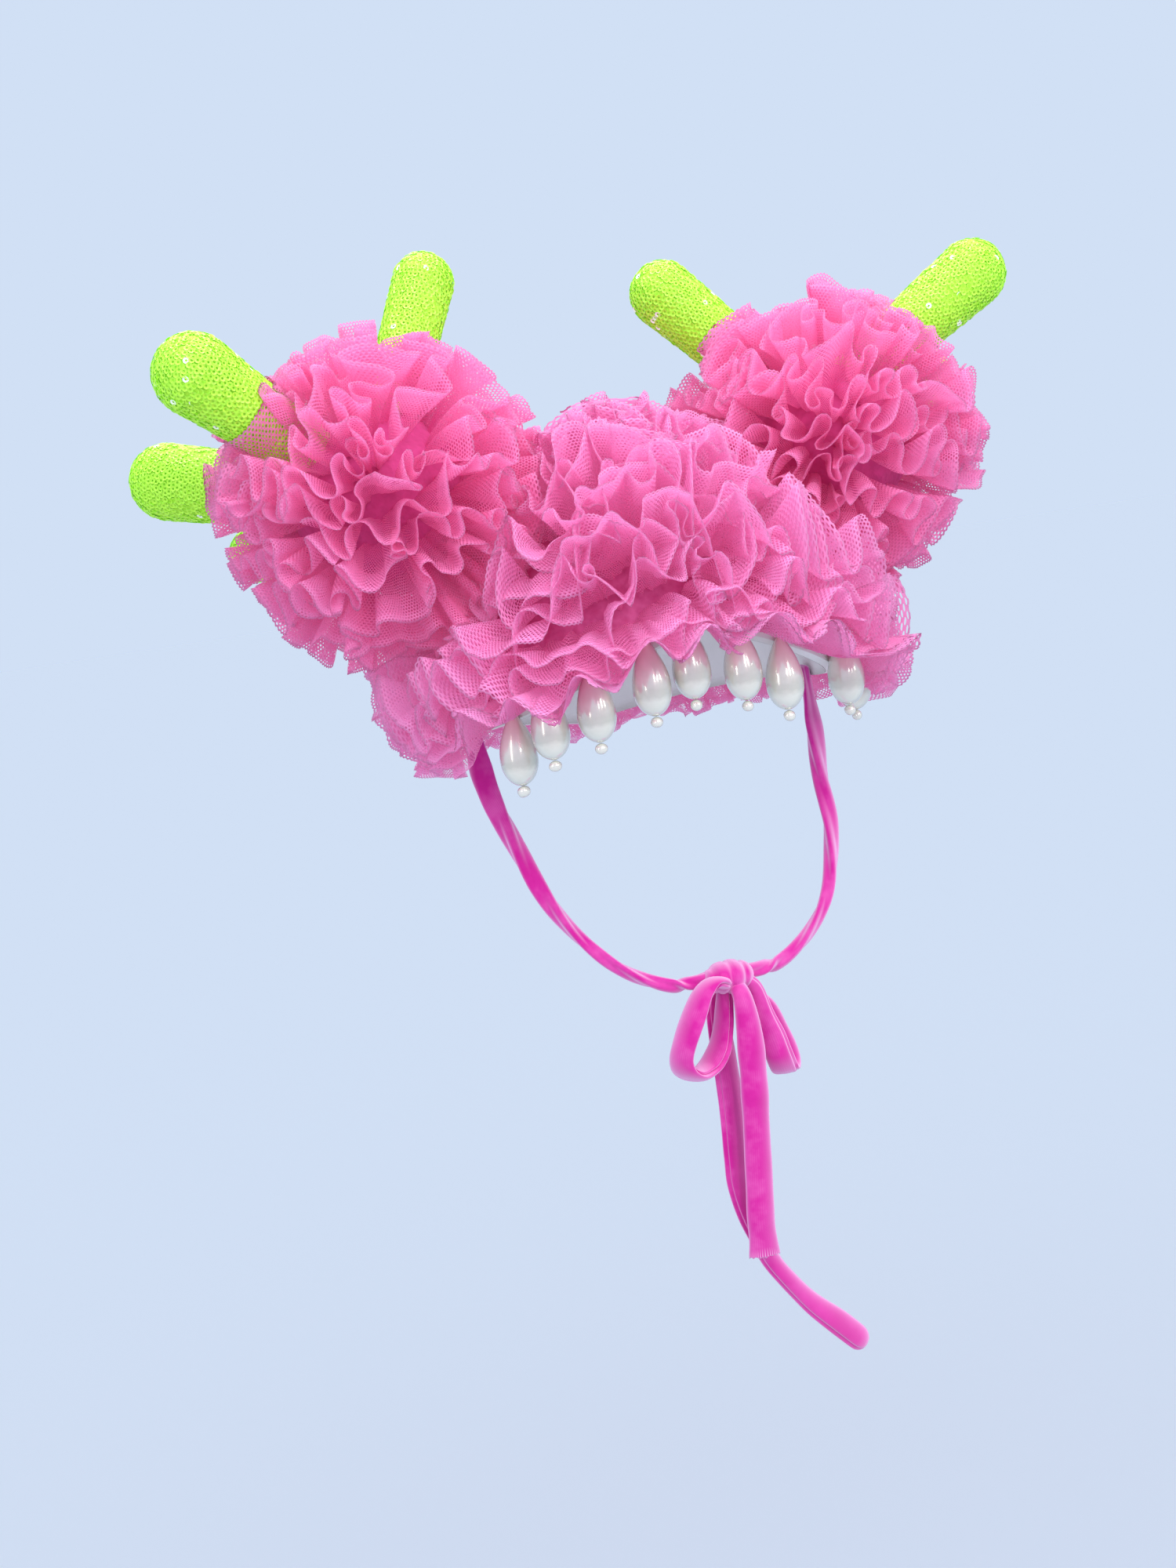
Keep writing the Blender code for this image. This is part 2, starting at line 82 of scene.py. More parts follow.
# Antlers: centre of each ball of net, the pole that its rows run round, and the radius of its core
ANTLERS = {
    "right": np.array((-112.5, -10, 15)) * MM,
    "left": np.array((110, -10, 12)) * MM,
}
ANTLER_POLES = {"right": (-0.45, -0.25, 0.86), "left": (0.45, -0.25, 0.86)}
ANTLER_CORE = 38 * MM

# Tines: side, name, centre of the round tip (x, y, z), middle of the root (x, y, z), radius at the root,
# radius at the tip, all in mm
TINES = (
    ("right", "inner", (-71.9, 12, 113), (-101.7, -2.4, 49.7), 13.0, 14.4),
    ("right", "main", (-187.8, -30, 77.8), (-144.2, -19.5, 41.3), 13.0, 18.3),
    ("right", "outer", (-200.5, 45, 39.6), (-148.3, 10.4, 24.8), 16.0, 18.0),
    ("right", "rear", (-162.5, 66, 1), (-139, 36, 0), 12.0, 13.5),
    ("left", "inner", (46, 12, 96.5), (92.2, -2.3, 44.7), 13.5, 16.0),
    ("left", "main", (190, -30, 84), (135, -18, 48), 13.7, 16.8),
    ("left", "outer", (194.3, 45, 43.8), (146.8, 11.2, 27.3), 15.0, 17.5),
    ("left", "rear", (162, 66, 2), (139, 36, 1), 12.0, 13.5),
)
TINE_FOOT = 12 * MM  # how deep a tine is sunk in its ball
# How far its cloth lies inside those radii, at the root and at the tip
ROOT_INSET = 0.4 * MM
TIP_INSET = 0.5 * MM
SEQUIN_RADIUS = 1.45 * MM
SEQUIN_HOLE = 0.55 * MM
SEQUIN_CUP = 0.3 * MM  # depth of its hole below its rim
SEQUIN_SIDES = 8
SEQUIN_PITCH = 2.35 * MM
SEQUIN_ROWS = 0.87  # distance between rows, as a share of the pitch
SEQUIN_LIFT, SEQUIN_UNEVEN = 0.55, 0.25  # height above the cloth and how much it varies, in mm
SEQUIN_STRAY = 0.25 * MM
SEQUIN_TILT = 0.13
SEQUIN_CLEAR = 0.012  # share of clear ones

# Drop pearls, numbered from the wearer's right, and the bead under each
PEARLS = 9
PEARL_BOXES = [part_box(f"pearl_{number}") for number in range(1, PEARLS + 1)]
PEARL_RADIUS = 8.5 * MM
PEARL_LENGTH = 34 * MM
PEARL_BELLY = 12 * MM  # height of its widest place
PEARL_TAPER = 0.85
BEAD_RADIUS = 2.5 * MM

# Velvet tube: rows of x, y, z in mm, direction of the flat width in degrees from +X, share of the full width
STRAP_WIDTH = 13 * MM
STRAP_THICKNESS = 5.5 * MM
STRAP_ROUND = 30 * MM  # distance round the tube
STRAP_STEP = 1.1 * MM
STRAP_COLUMNS = 44
STRAP_END = 3.2 * MM  # length of a rounded end
TAIL_TIP = 6.5 * MM  # the same, of the back tail
KNOT_CENTRE = np.array((4, -61, -225)) * MM
KNOT_HALF = np.array((12, 9, 8)) * MM
# Edges of the knot's turns: place along it and sway, as shares of its half width, and depth
KNOT_GROOVES = ((-0.62, 0.08, 0.12), (-0.15, 0.14, 0.1), (0.45, -0.1, 0.14))
KNOT_GROOVE_WIDTH = 0.1
TIE = (
    (-85.0, -4, -92, 90, 0.9), (-85.5, -5, -108, 120, 0.9), (-84.0, -8, -122, 150, 0.8),
    (-79.5, -16, -142, 163, 0.65), (-72.5, -32, -170, 163, 0.6), (-60.0, -46, -196, 163, 0.45),
    (-41.3, -54, -215, 163, 0.45), (-22.0, -57, -224.5, 163, 0.5), (-2.0, -60, -223.5, 163, 0.55),
)
BOW_LOOP_RIGHT = (
    (1.5, -68.5, -227, -50, 0.6), (-6, -70, -224, -50, 0.75), (-12.5, -71, -227.5, -50, 0.85),
    (-19, -72, -237, -50, 1.0), (-25, -72, -248, -50, 1.0), (-27.5, -71, -256, -50, 1.0),
    (-26, -70, -262, -50, 1.0), (-20, -68, -265.5, -50, 1.0), (-12.5, -65, -263.5, -50, 1.0),
    (-6.3, -64, -256.6, -50, 0.95), (-2.7, -63, -247.6, -50, 0.85), (-0.6, -62, -239.5, -50, 0.75),
    (2, -60, -229, -38, 0.55),
)
BOW_LOOP_LEFT = (
    (10, -64, -226, -10, 0.5), (15.2, -63.5, -232.5, -10, 0.62), (17.6, -64.5, -245.5, -10, 0.8),
    (20.4, -64.5, -257, -10, 0.95), (22.8, -64.5, -267.6, -10, 1.0), (26, -61, -274, -10, 1.0),
    (28.9, -57, -270.4, -10, 1.0), (26.2, -56, -257.3, -10, 0.9), (22.8, -56, -245.4, -10, 0.75),
    (17, -55.5, -237.5, -10, 0.6), (9.5, -57, -229, -10, 0.5),
)
TAIL_FRONT = (
    (5, -66, -227, -8, 0.6), (6.3, -70, -234, -8, 0.72), (6.8, -71, -248.5, -8, 0.92), (6.2, -71, -266.7, -8, 1.0),
    (5, -70.5, -284.8, -8, 1.0), (3.5, -70, -303, -8, 1.0), (2, -69.5, -321.3, -8, 1.0),
    (0.4, -69, -339.5, -8, 1.0), (0.2, -68.5, -351, -8, 1.05), (0.1, -68, -357, -8, 1.12),
)
TAIL_BACK = (
    (0.5, -54.5, -227, 10, 0.55), (-1, -51.5, -240, 10, 0.75), (-1.2, -53.5, -258, 10, 0.95),
    (-1.6, -56, -286.6, 10, 1.0), (-3.3, -57, -311.2, 10, 1.0), (-3.5, -57, -323.8, 10, 1.0),
    (-1.4, -57, -338.2, 10, 0.95), (2.5, -57, -351.9, 10, 0.85), (6.5, -57.5, -365, 10, 0.75),
    (13.5, -58, -377, 10, 0.7), (24, -58, -391.6, 10, 0.8), (36.9, -58.5, -405.4, 10, 0.95),
    (49, -59, -419, 10, 0.95),
)

# Net: strips folded double and gathered onto a row
NET_PITCH = 1.55 * MM  # from hole to hole
CLOTH_STEP = 2.2 * MM  # between the points of a strip, along the cloth
FOLD_HALF = 0.3 * MM  # half the distance between the two layers of a strip
EDGE_BAND = 4.2 * MM  # width of the dense, ribbed band along the fold
RIB_PITCH = 1.3 * MM
# Towards the gathered foot, between these distances from the fold, the holes close and the colour deepens: the
# denser net's deeper colour with painted shade down among the gathers
CLOSING = (22 * MM, 40 * MM)
FOOT_DENSITY_AND_SHADE = (10 * MM, 36 * MM)
THROUGH = 0.48  # share of the light on a thread that goes through it
LEAST_HEIGHT = 5 * MM  # a strip that is lower is left out
# Across a strip: share of its height, and which layer (1 front, 0 the fold, -1 back)
FRONT_LAYER = ((0, 1), (0.2, 1), (0.4, 1), (0.6, 1), (0.78, 1), (0.93, 0.9), (1, 0))
PROFILE = (*FRONT_LAYER, (0.93, -0.9), (0.78, -1), (0.6, -1))
# wave: cloth in one S; swing: how far the free edge turns in it, in radians; height and lean of the strip;
# flop: how far its folds lean to and fro; fan: length of the free edge beside the row's; crisp: share of the
# folds that run straight between sharp turns, beside soft S-curves; pleat: depth of the small pleats that run
# up from the gathered foot; crumple: depth of the dents along the free edge
Gather = namedtuple("Gather", "wave swing height lean flop fan crisp pleat crumple")
CAP_GATHER = Gather(41 * MM, 1.6, 40 * MM, math.radians(36), math.radians(46), 1.4, 0.55, 2.2 * MM, 2.8 * MM)
ANTLER_GATHER = Gather(43 * MM, 2.05, 36 * MM, 0, math.radians(17), 1.9, 0.15, 1.0 * MM, 1.0 * MM)
ROW_ROUND = 2 * math.pi * 1.03  # a row runs a little more than once round
ANTLER_ROWS = 12
# The cap's rows, as shares of the way from its pole to its rim; the last two fill the hem
CAP_ROWS = [(row + 0.7) / 18 for row in range(18)] + [0.9, 0.99]
# Down to this share, on the crown, the waves are shorter and the fan is wider
CROWN = 0.3
CROWN_WAVE = 0.8
CROWN_FAN = 1.7
# The cap's ruffles have no height this close to an antler's centre, and their full height this much further out
SEAT_RADIUS = 58 * MM
SEAT_FADE = 34 * MM

# The hem, which hangs below the rim
HEM_FROM = 0.85  # share of the way at which its rows start
HEM_START = 2 * MM  # it is bent from this height above the rim on
HEM_FLARE = 0.6  # how far it is turned outward, beside how far it is lifted
HEM_REACH = 18 * MM  # how far the net hangs below the rim in front
HEM_SIDE = 0.9  # how much further at the sides, as a share
HEM_RAGGED = 0.35  # it varies by this share
# It hangs in points between the pearls: over each it is shorter by this share and starts this much higher
HEM_LIFT = 0.75
HEM_RISE = 9 * MM
HEM_LIFT_WIDTH = math.radians(4.8)
# Where it is shorter still: bearing and half width in degrees, and by what share
HEM_NOTCHES = ((51, 9, 0.6), (-34, 12, 0.7))
# From this bearing back its rows get lower, over so many degrees, by this share
HEM_BACK, HEM_BACK_FADE, HEM_BACK_LOWER = 70, 38, 0.45

# Distance that the net keeps from the felt, the tines and the pearls, and the radius kept free at a pearl's top
FELT_GAP = 1.2 * MM
TINE_GAP = 1.6 * MM
PEARL_GAP = 1.2 * MM
PEARL_TOP = 2.5 * MM

# Colours. A strip of net has its own at the fold (EDGE); towards the foot it turns to DEEP, the denser net's deeper
# colour with painted shade down among the gathers.
PINK = (0.92, 0.32, 0.60)
PINK_EDGE = (0.94, 0.40, 0.68)
PINK_DEEP = (0.72, 0.07, 0.30)
# The cores under the ruffles are painted dark: painted shade under the ruffles, with the dense net's deeper colour
CORE_DENSE_SHADE = (0.50, 0.04, 0.18)
CAP_PINK = (0.85, 0.335, 0.615)
CAP_PINK_EDGE = (0.87, 0.41, 0.68)
CAP_PINK_DEEP = (0.79, 0.20, 0.47)
# Painted light: share of light that the net gives off in its own colour, standing in for light scattered through
# its layers, beside the neon dyes' own glow; the cap gets more
PAINTED_GLOW = 0.06
CAP_PAINTED_GLOW = 0.11
LIME = (0.44, 0.86, 0.04)
LIME_CLOTH = (0.42, 0.86, 0.03)
CLEAR = (0.9, 1, 0.8)
# Painted light: the sequins give off light in their own colour, beside the neon dye's own glow
LIME_PAINTED_GLOW = 0.12
PEARL_WARM = (0.86, 0.80, 0.68)
PEARL_PALE = (0.92, 0.88, 0.79)
# Pearls: a painted grey reflection round the belly, and painted shade towards the rim
PEARL_BELLY_REFLECTION = (0.42, 0.40, 0.33)
PEARL_RIM_SHADE = (0.40, 0.34, 0.26)
FELT_DARK = (0.80, 0.74, 0.72)
FELT_LIGHT = (0.90, 0.86, 0.84)
# Velvet: the lighter crushed patches and the pale sheen are painted light
MAGENTA = (0.60, 0.014, 0.27)
MAGENTA_LIT = (0.76, 0.04, 0.38)
MAGENTA_SHEEN = (0.93, 0.50, 0.76)
PILE_PITCH = 0.75 * MM
CUT_SHEEN_BAND = 5 * MM  # how far behind a cut end the flattened pile gets painted sheen

# Studio: name, place, size and power in watts of each lamp, all turned to one spot
LAMPS = (
    ("key_inner", (0.06, -1.8, 1.3), (0.2, 2.4), 15.5),
    ("key_middle", (0.62, -1.7, 1.3), (0.2, 2.4), 15.5),
    ("key_outer", (1.15, -1.35, 1.3), (0.2, 2.4), 15.5),
    ("fill", (-1.3, -0.9, 0.9), (0.10, 2.6), 11.5),
    ("top", (0.0, 0.3, 1.5), (1.0, 1.0), 25),
)
LIT_SPOT = (0, 0, -0.05)
BACKGROUND = (0.638, 0.745, 0.913)
FLOOR = CAD_BOX[0].z - 0.12
FLOOR_HALF = 40
NET_LAYERS = 24  # that a ray of light may pass


def new_material(name):
    made = bpy.data.materials.new(name)
    made.use_nodes = True
    made.node_tree.nodes.clear()
    return made, made.node_tree


def add_node(tree, kind, inputs=None, **settings):
    """Adds a shader node. An input is a value or another node's output."""
    node = tree.nodes.new("ShaderNode" + kind)
    for key, value in settings.items():
        setattr(node, key, value)
    for key, value in (inputs or {}).items():
        if isinstance(value, bpy.types.NodeSocket):
            tree.links.new(value, node.inputs[key])
        else:
            node.inputs[key].default_value = value
    return node


def maths(tree, operation, *values):
    return add_node(tree, "Math", dict(enumerate(values)), operation=operation).outputs[0]


def times(tree, *values):
    return maths(tree, "MULTIPLY", *values)


def ramp(tree, value, low, high, start, end):
    """value from low to high as start to end, held beyond them."""
    inputs = {"Value": value, "From Min": low, "From Max": high, "To Min": start, "To Max": end}
    return add_node(tree, "MapRange", inputs, clamp=True).outputs["Result"]


def mixed(tree, share, first, second):
    """A colour between two, each a tuple or a node's output."""
    first, second = ((*colour, 1) if isinstance(colour, tuple) else colour for colour in (first, second))
    return add_node(tree, "Mix", {0: share, 6: first, 7: second}, data_type="RGBA").outputs[2]


def noise(tree, vector, scale, detail=2.0, roughness=0.5):
    inputs = {"Vector": vector, "Scale": scale, "Detail": detail, "Roughness": roughness}
    return add_node(tree, "TexNoise", inputs).outputs["Fac"]


def bump(tree, height, strength, distance):
    inputs = {"Height": height, "Strength": strength, "Distance": distance}
    return add_node(tree, "Bump", inputs).outputs["Normal"]


def object_place(tree):
    return add_node(tree, "TexCoord").outputs["Object"]


def cloth_place(tree):
    """Place on the flat cloth, and its two coordinates."""
    cloth = add_node(tree, "UVMap", uv_map="cloth").outputs["UV"]
    split = add_node(tree, "SeparateXYZ", {0: cloth})
    return cloth, split.outputs["X"], split.outputs["Y"]


def ripples(tree, place, pitch):
    return maths(tree, "SINE", times(tree, place, 2 * math.pi / pitch))


def scaled(colour, share):
    return tuple(c * share for c in colour)


def finished(made, shader):
    """The material with the shader as its surface."""
    add_node(made.node_tree, "OutputMaterial", {"Surface": shader.outputs[0]})
    return made


def principled(made, colour, roughness, inputs):
    inputs = {"Base Color": colour, "Roughness": roughness, **inputs}
    return finished(made, add_node(made.node_tree, "BsdfPrincipled", inputs))


def net_cover(tree, cloth, distance_from_fold):
    """1 on a thread and 0 in a hole of the net: a honeycomb from three crossed waves."""
    turn = 4 * math.pi / (math.sqrt(3) * NET_PITCH)
    waves = []
    for angle in (90, 210, 330):
        way = (turn * math.cos(math.radians(angle)), turn * math.sin(math.radians(angle)), 0)
        along = add_node(tree, "VectorMath", {0: cloth, 1: way}, operation="DOT_PRODUCT")
        waves.append(maths(tree, "COSINE", along.outputs["Value"]))
    total = maths(tree, "ADD", maths(tree, "ADD", waves[0], waves[1]), waves[2])
    edge = ramp(tree, distance_from_fold, EDGE_BAND, EDGE_BAND + 0.6 * MM, 0.7, 0.0)
    total = maths(tree, "SUBTRACT", total, edge)
    gathered = ramp(tree, distance_from_fold, *CLOSING, 0.0, 1.6)
    total = maths(tree, "SUBTRACT", total, gathered)
    return ramp(tree, total, -0.62, -0.25, 1.0, 0.0)


def make_net(name, colour, edge_colour, deep_colour, glow):
    """Sheer net: a honeycomb of threads that let light through, and holes."""
    made, tree = new_material(name)
    cloth, along, height = cloth_place(tree)
    from_fold = maths(tree, "ABSOLUTE", height)
    cover = net_cover(tree, cloth, from_fold)
    edge = ramp(tree, from_fold, EDGE_BAND - 0.5 * MM, EDGE_BAND, 0.6, 0.0)
    tone = mixed(tree, edge, colour, edge_colour)
    rib = ripples(tree, along, RIB_PITCH)
    ribbed = times(tree, ramp(tree, rib, -0.2, 1.0, 0.0, 0.28), edge)
    tone = mixed(tree, ribbed, tone, deep_colour)
    # Painted shade down among the gathers, with the denser net's deeper colour, towards the foot
    deep = ramp(tree, from_fold, *FOOT_DENSITY_AND_SHADE, 0.0, 0.75)
    tone = mixed(tree, deep, tone, deep_colour)
    front = add_node(tree, "BsdfDiffuse", {"Color": tone, "Roughness": 0.3})
    back = add_node(tree, "BsdfTranslucent", {"Color": tone})
    thread = add_node(tree, "MixShader", {0: THROUGH, 1: front.outputs[0], 2: back.outputs[0]})
    # Painted light: the threads give off a little light in their own colour
    painted_light = add_node(tree, "Emission", {"Color": tone, "Strength": glow})
    thread = add_node(tree, "AddShader", {0: thread.outputs[0], 1: painted_light.outputs[0]})
    hole = add_node(tree, "BsdfTransparent")
    sheet = add_node(tree, "MixShader", {0: cover, 1: hole.outputs[0], 2: thread.outputs[0]})
    return finished(made, sheet)


def make_net_core(name, dark, light):
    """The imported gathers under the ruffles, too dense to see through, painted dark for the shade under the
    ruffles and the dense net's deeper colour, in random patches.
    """
    made, tree = new_material(name)
    rough = noise(tree, object_place(tree), 260, 3)
    tone = mixed(tree, rough, dark, light)
    return principled(made, tone, 0.9, {"Normal": bump(tree, rough, 0.6, 1.5 * MM)})


def make_sequin(name, colour, shade):
    """Glossy bright plastic; shade is what the darker patches keep of the colour."""
    made, tree = new_material(name)
    pale = tuple(min(1.0, c * 1.12 + 0.03) for c in colour)
    tone = mixed(tree, noise(tree, object_place(tree), 900, 1), scaled(colour, shade), pale)
    inputs = {
        "Specular IOR Level": 0.35,
        "Coat Weight": 0.15,
        "Coat Roughness": 0.15,
        # Painted light: each sequin gives off light in its own colour
        "Emission Color": (*colour, 1),
        "Emission Strength": LIME_PAINTED_GLOW,
    }
    return principled(made, tone, 0.4, inputs)


def make_lime_cloth():
    made, tree = new_material("lime_cloth")
    weave = noise(tree, object_place(tree), 1500, 2)
    tone = mixed(tree, weave, scaled(LIME_CLOTH, 0.8), LIME_CLOTH)
    return principled(made, tone, 0.75, {"Normal": bump(tree, weave, 0.4, 0.3 * MM)})


def make_pearl():
    """Ivory pearlescent coat with a painted grey reflection round the belly and painted shade towards the rim, and
    faint streaks down the drop.
    """
    made, tree = new_material("pearl_coat")
    place = object_place(tree)
    _, _, level = cloth_place(tree)
    stretch = add_node(tree, "Mapping", {"Vector": place, "Scale": (1, 1, 0.08)}).outputs[0]
    streak = noise(tree, stretch, 900, 2)
    blotch = noise(tree, place, 240, 2)
    tone = mixed(tree, blotch, PEARL_WARM, PEARL_PALE)
    # Painted reflection: a greyish band round the belly
    wavy = maths(tree, "ADD", level, times(tree, maths(tree, "SUBTRACT", blotch, 0.5), 0.12))
    lower = ramp(tree, wavy, 0.2, 0.27, 0.0, 1.0)
    upper = ramp(tree, wavy, 0.34, 0.5, 1.0, 0.0)
    band = times(tree, times(tree, lower, upper), 0.4)
    tone = mixed(tree, band, tone, PEARL_BELLY_REFLECTION)
    # Painted shade: darker towards the rim, where the surface turns away from view
    turned = add_node(tree, "LayerWeight", {"Blend": 0.5}).outputs["Facing"]
    tone = mixed(tree, ramp(tree, turned, 0.35, 0.9, 0.0, 0.6), tone, PEARL_RIM_SHADE)
    inputs = {
        "Metallic": 0.25,
        "Specular IOR Level": 0.7,
        "Coat Weight": 1.0,
        "Coat IOR": 1.8,
        "Coat Roughness": 0.05,
        "Thin Film Thickness": 420,
        "Thin Film IOR": 1.45,
        "Normal": bump(tree, streak, 0.06, 0.3 * MM),
    }
    return principled(made, tone, 0.2, inputs)


def make_velvet():
    """Stretch velvet: deep pile in fine rows along the tube, with painted sheen: pale where it is seen from the
    side, on brushed patches and behind a cut end, and crushed patches painted a lighter magenta.
    """
    made, tree = new_material("velvet")
    place = object_place(tree)
    _, round_tube, from_end = cloth_place(tree)
    crushed = noise(tree, place, 70, 3, 0.55)
    pile = noise(tree, place, 2600, 2)
    wave = ramp(tree, ripples(tree, round_tube, PILE_PITCH), -0.6, 0.8, 0.0, 1.0)
    # Painted sheen: pale where the pile is seen from the side, in rows along the tube
    facing = add_node(tree, "LayerWeight", {"Blend": 0.5}).outputs["Facing"]
    rim = ramp(tree, facing, 0.06, 0.62, 0.0, 1.0)
    brushed_sheen = ramp(tree, crushed, 0.42, 0.68, 0.0, 1.0)
    rim = times(tree, maths(tree, "POWER", rim, 1.2), ramp(tree, wave, 0.0, 1.0, 0.93, 1.0))
    # Painted sheen on brushed patches
    streak = times(tree, brushed_sheen, ramp(tree, wave, 0.0, 1.0, 0.55, 1.0))
    pale = maths(tree, "MAXIMUM", rim, times(tree, streak, 0.2))
    # Painted sheen behind a cut end, where the pile is flattened
    cut = ramp(tree, from_end, 0.0, CUT_SHEEN_BAND, 0.75, 0.0)
    pale = maths(tree, "MAXIMUM", pale, times(tree, cut, wave))
    # Crushed patches painted a lighter magenta, a painted sheen
    tone = mixed(tree, ramp(tree, crushed, 0.3, 0.75, 0.0, 0.7), MAGENTA, MAGENTA_LIT)
    tone = mixed(tree, times(tree, pale, 0.8), tone, MAGENTA_SHEEN)
    height = maths(tree, "ADD", times(tree, crushed, 0.3), times(tree, pile, 0.5))
    height = maths(tree, "ADD", height, times(tree, wave, 0.03))
    inputs = {
        "Specular IOR Level": 0.15,
        "Sheen Weight": 0.5,
        "Sheen Roughness": 0.4,
        "Sheen Tint": (*MAGENTA_SHEEN, 1),
        "Normal": bump(tree, height, 0.4, 0.4 * MM),
    }
    return principled(made, tone, 0.85, inputs)


def make_felt():
    made, tree = new_material("felt")
    place = object_place(tree)
    fibre = noise(tree, place, 700, 4, 0.7)
    tone = mixed(tree, noise(tree, place, 60, 2), FELT_DARK, FELT_LIGHT)
    return principled(made, tone, 0.95, {"Sheen Weight": 0.25, "Normal": bump(tree, fibre, 0.5, 0.5 * MM)})


def unit(vectors):
    return vectors / np.maximum(np.linalg.norm(vectors, axis=-1, keepdims=True), 1e-12)


def angles_round(count):
    return np.linspace(0, 2 * math.pi, count, endpoint=False)


def turned_up(way):
    """The turn that brings +Z to a direction."""
    return np.array(Vector(way).to_track_quat("Z", "Y").to_matrix())


def round_pole(polar, bearing):
    """Directions at an angle from +Z and at a bearing."""
    level = np.sin(polar)
    return np.stack([-level * np.sin(bearing), -level * np.cos(bearing), np.cos(polar) + 0 * bearing], -1)


def lengths_along(points):
    """How far along a line each of its points lies."""
    return np.concatenate([[0], np.cumsum(np.linalg.norm(np.diff(points, axis=0), axis=1))])


def add_mesh(name, points, faces, materials, cloth=None, material_index=None):
    """A mesh object from arrays of points and of faces of three or four corners."""
    mesh = bpy.data.meshes.new(name)
    points, faces = np.asarray(points, float), np.asarray(faces, np.int32)
    corners = faces.shape[1]
    mesh.vertices.add(len(points))
    mesh.vertices.foreach_set("co", points.ravel())
    mesh.loops.add(faces.size)
    mesh.loops.foreach_set("vertex_index", faces.ravel())
    mesh.polygons.add(len(faces))
    mesh.polygons.foreach_set("loop_start", np.arange(0, faces.size, corners))
    mesh.update(calc_edges=True)
    if cloth is not None:
        layer = mesh.uv_layers.new(name="cloth")
        layer.data.foreach_set("uv", np.asarray(cloth, float)[faces.ravel()].ravel())
    for material in materials:
        mesh.materials.append(material)
    if material_index is not None:
        mesh.polygons.foreach_set("material_index", np.asarray(material_index, np.int32))
    mesh.shade_smooth()
    mesh.validate()
    made = bpy.data.objects.new(name, mesh)
    bpy.context.scene.collection.objects.link(made)
    return made


def add_round(name, points, material, cloth=None):
    """A mesh object from a grid of points that closes on itself across."""
    if cloth is not None:
        cloth = cloth.reshape(-1, 2)
    return add_mesh(name, points.reshape(-1, 3), grid_faces(*points.shape[:2], closed=True), [material], cloth)


class Parts:
    """Collects small meshes that become one piece. The kind of each is the number of its material."""

    def __init__(self):
        self.points, self.faces, self.cloth, self.kinds = [], [], [], []
        self.count = 0
        self.cut_length = 0  # of the cloth of all strips, before it was gathered

    def add(self, points, faces, cloth=None, kind=0):
        self.points.append(points)
        self.faces.append(faces + self.count)
        self.cloth.append(np.zeros((len(points), 2)) if cloth is None else cloth)
        self.kinds.append(np.full(len(faces), kind))
        self.count += len(points)

    def add_round(self, points, kind):
        self.add(points.reshape(-1, 3), grid_faces(*points.shape[:2], closed=True), kind=kind)

    def make(self, name, materials):
        points, faces, cloth = (np.vstack(stack) for stack in (self.points, self.faces, self.cloth))
        return add_mesh(name, points, faces, materials, cloth, np.concatenate(self.kinds))


def grid_faces(rows, columns, closed=False):
    """Quads of a grid of points, row by row; closed joins the last column to the first."""
    across = columns if closed else columns - 1
    row, column = np.divmod(np.arange((rows - 1) * across), across)
    after = (column + 1) % columns
    this, following = row * columns, (row + 1) * columns
    return np.column_stack([this + column, this + after, following + after, following + column])


def ball_grid(rows, columns, hole=0.02):
    """Directions of a grid on a ball, with their angles from the top and round it. hole: angle left free at
    each pole."""
    polar = np.linspace(hole, math.pi - hole, rows)[:, None]
    around = angles_round(columns)[None]
    way = [np.sin(polar) * np.cos(around), np.sin(polar) * np.sin(around), np.cos(polar) + 0 * around]
    return polar, around, np.stack(way, -1)


def rim_height(bearing):
    """Height of the cap's inner rim: lowest at the nape, arched over the forehead."""
    side = np.abs(np.sin(bearing))
    front = RIM_FRONT - RIM_TEMPLE_DROP * side**RIM_CURVE
    back = RIM_FRONT - RIM_TEMPLE_DROP - RIM_NAPE_DROP * (1 - side)
    return np.where(np.cos(bearing) > 0, front, back)


def rim_polar(bearing):
    """Angle of the rim from the cap's pole."""
    return np.arccos((rim_height(bearing) - CAP_CENTRE[2]) / CAP_INNER[2])


def on_cap(offset, polar, bearing):
    """Points at an offset outside the cap's inner face, and the outward directions there."""
    half = CAP_INNER + np.asarray(offset)[..., None]
    way = round_pole(polar, bearing)
    return CAP_CENTRE + half * way, unit(way / half)


class Path:
    """A line on a form, with the form's outward direction beside each point."""

    def __init__(self, points, outward):
        self.along = lengths_along(points)
        self.points = points
        self.outward = outward
        self.length = self.along[-1]

    def pick(self, values, spots):
        return np.column_stack([np.interp(spots, self.along, column) for column in values.T])

    def frames(self, spots):
        """Place, direction along, direction out and direction down (away from the pole) at each spot."""
        tangents = np.gradient(self.points, self.along, axis=0)
        along = unit(self.pick(tangents, spots))
        out = unit(self.pick(self.outward, spots))
        return self.pick(self.points, spots), along, out, np.cross(out, along)


def smooth_noise(rng, places, size):
    """Smooth random values from -1 to 1 along a line, with bumps of the given size."""
    knots = rng.uniform(-1, 1, int(places[-1] / size) + 4)
    spot = places / size
    index = spot.astype(int)
    share = spot - index
    share = share * share * (3 - 2 * share)
    return knots[index] * (1 - share) + knots[index + 1] * share


def running_mean(values, window):
    """Mean over a window, widened to an odd number of values."""
    window += 1 - window % 2
    padded = np.pad(values, window // 2, mode="edge")
    return np.convolve(padded, np.ones(window) / window, "valid")


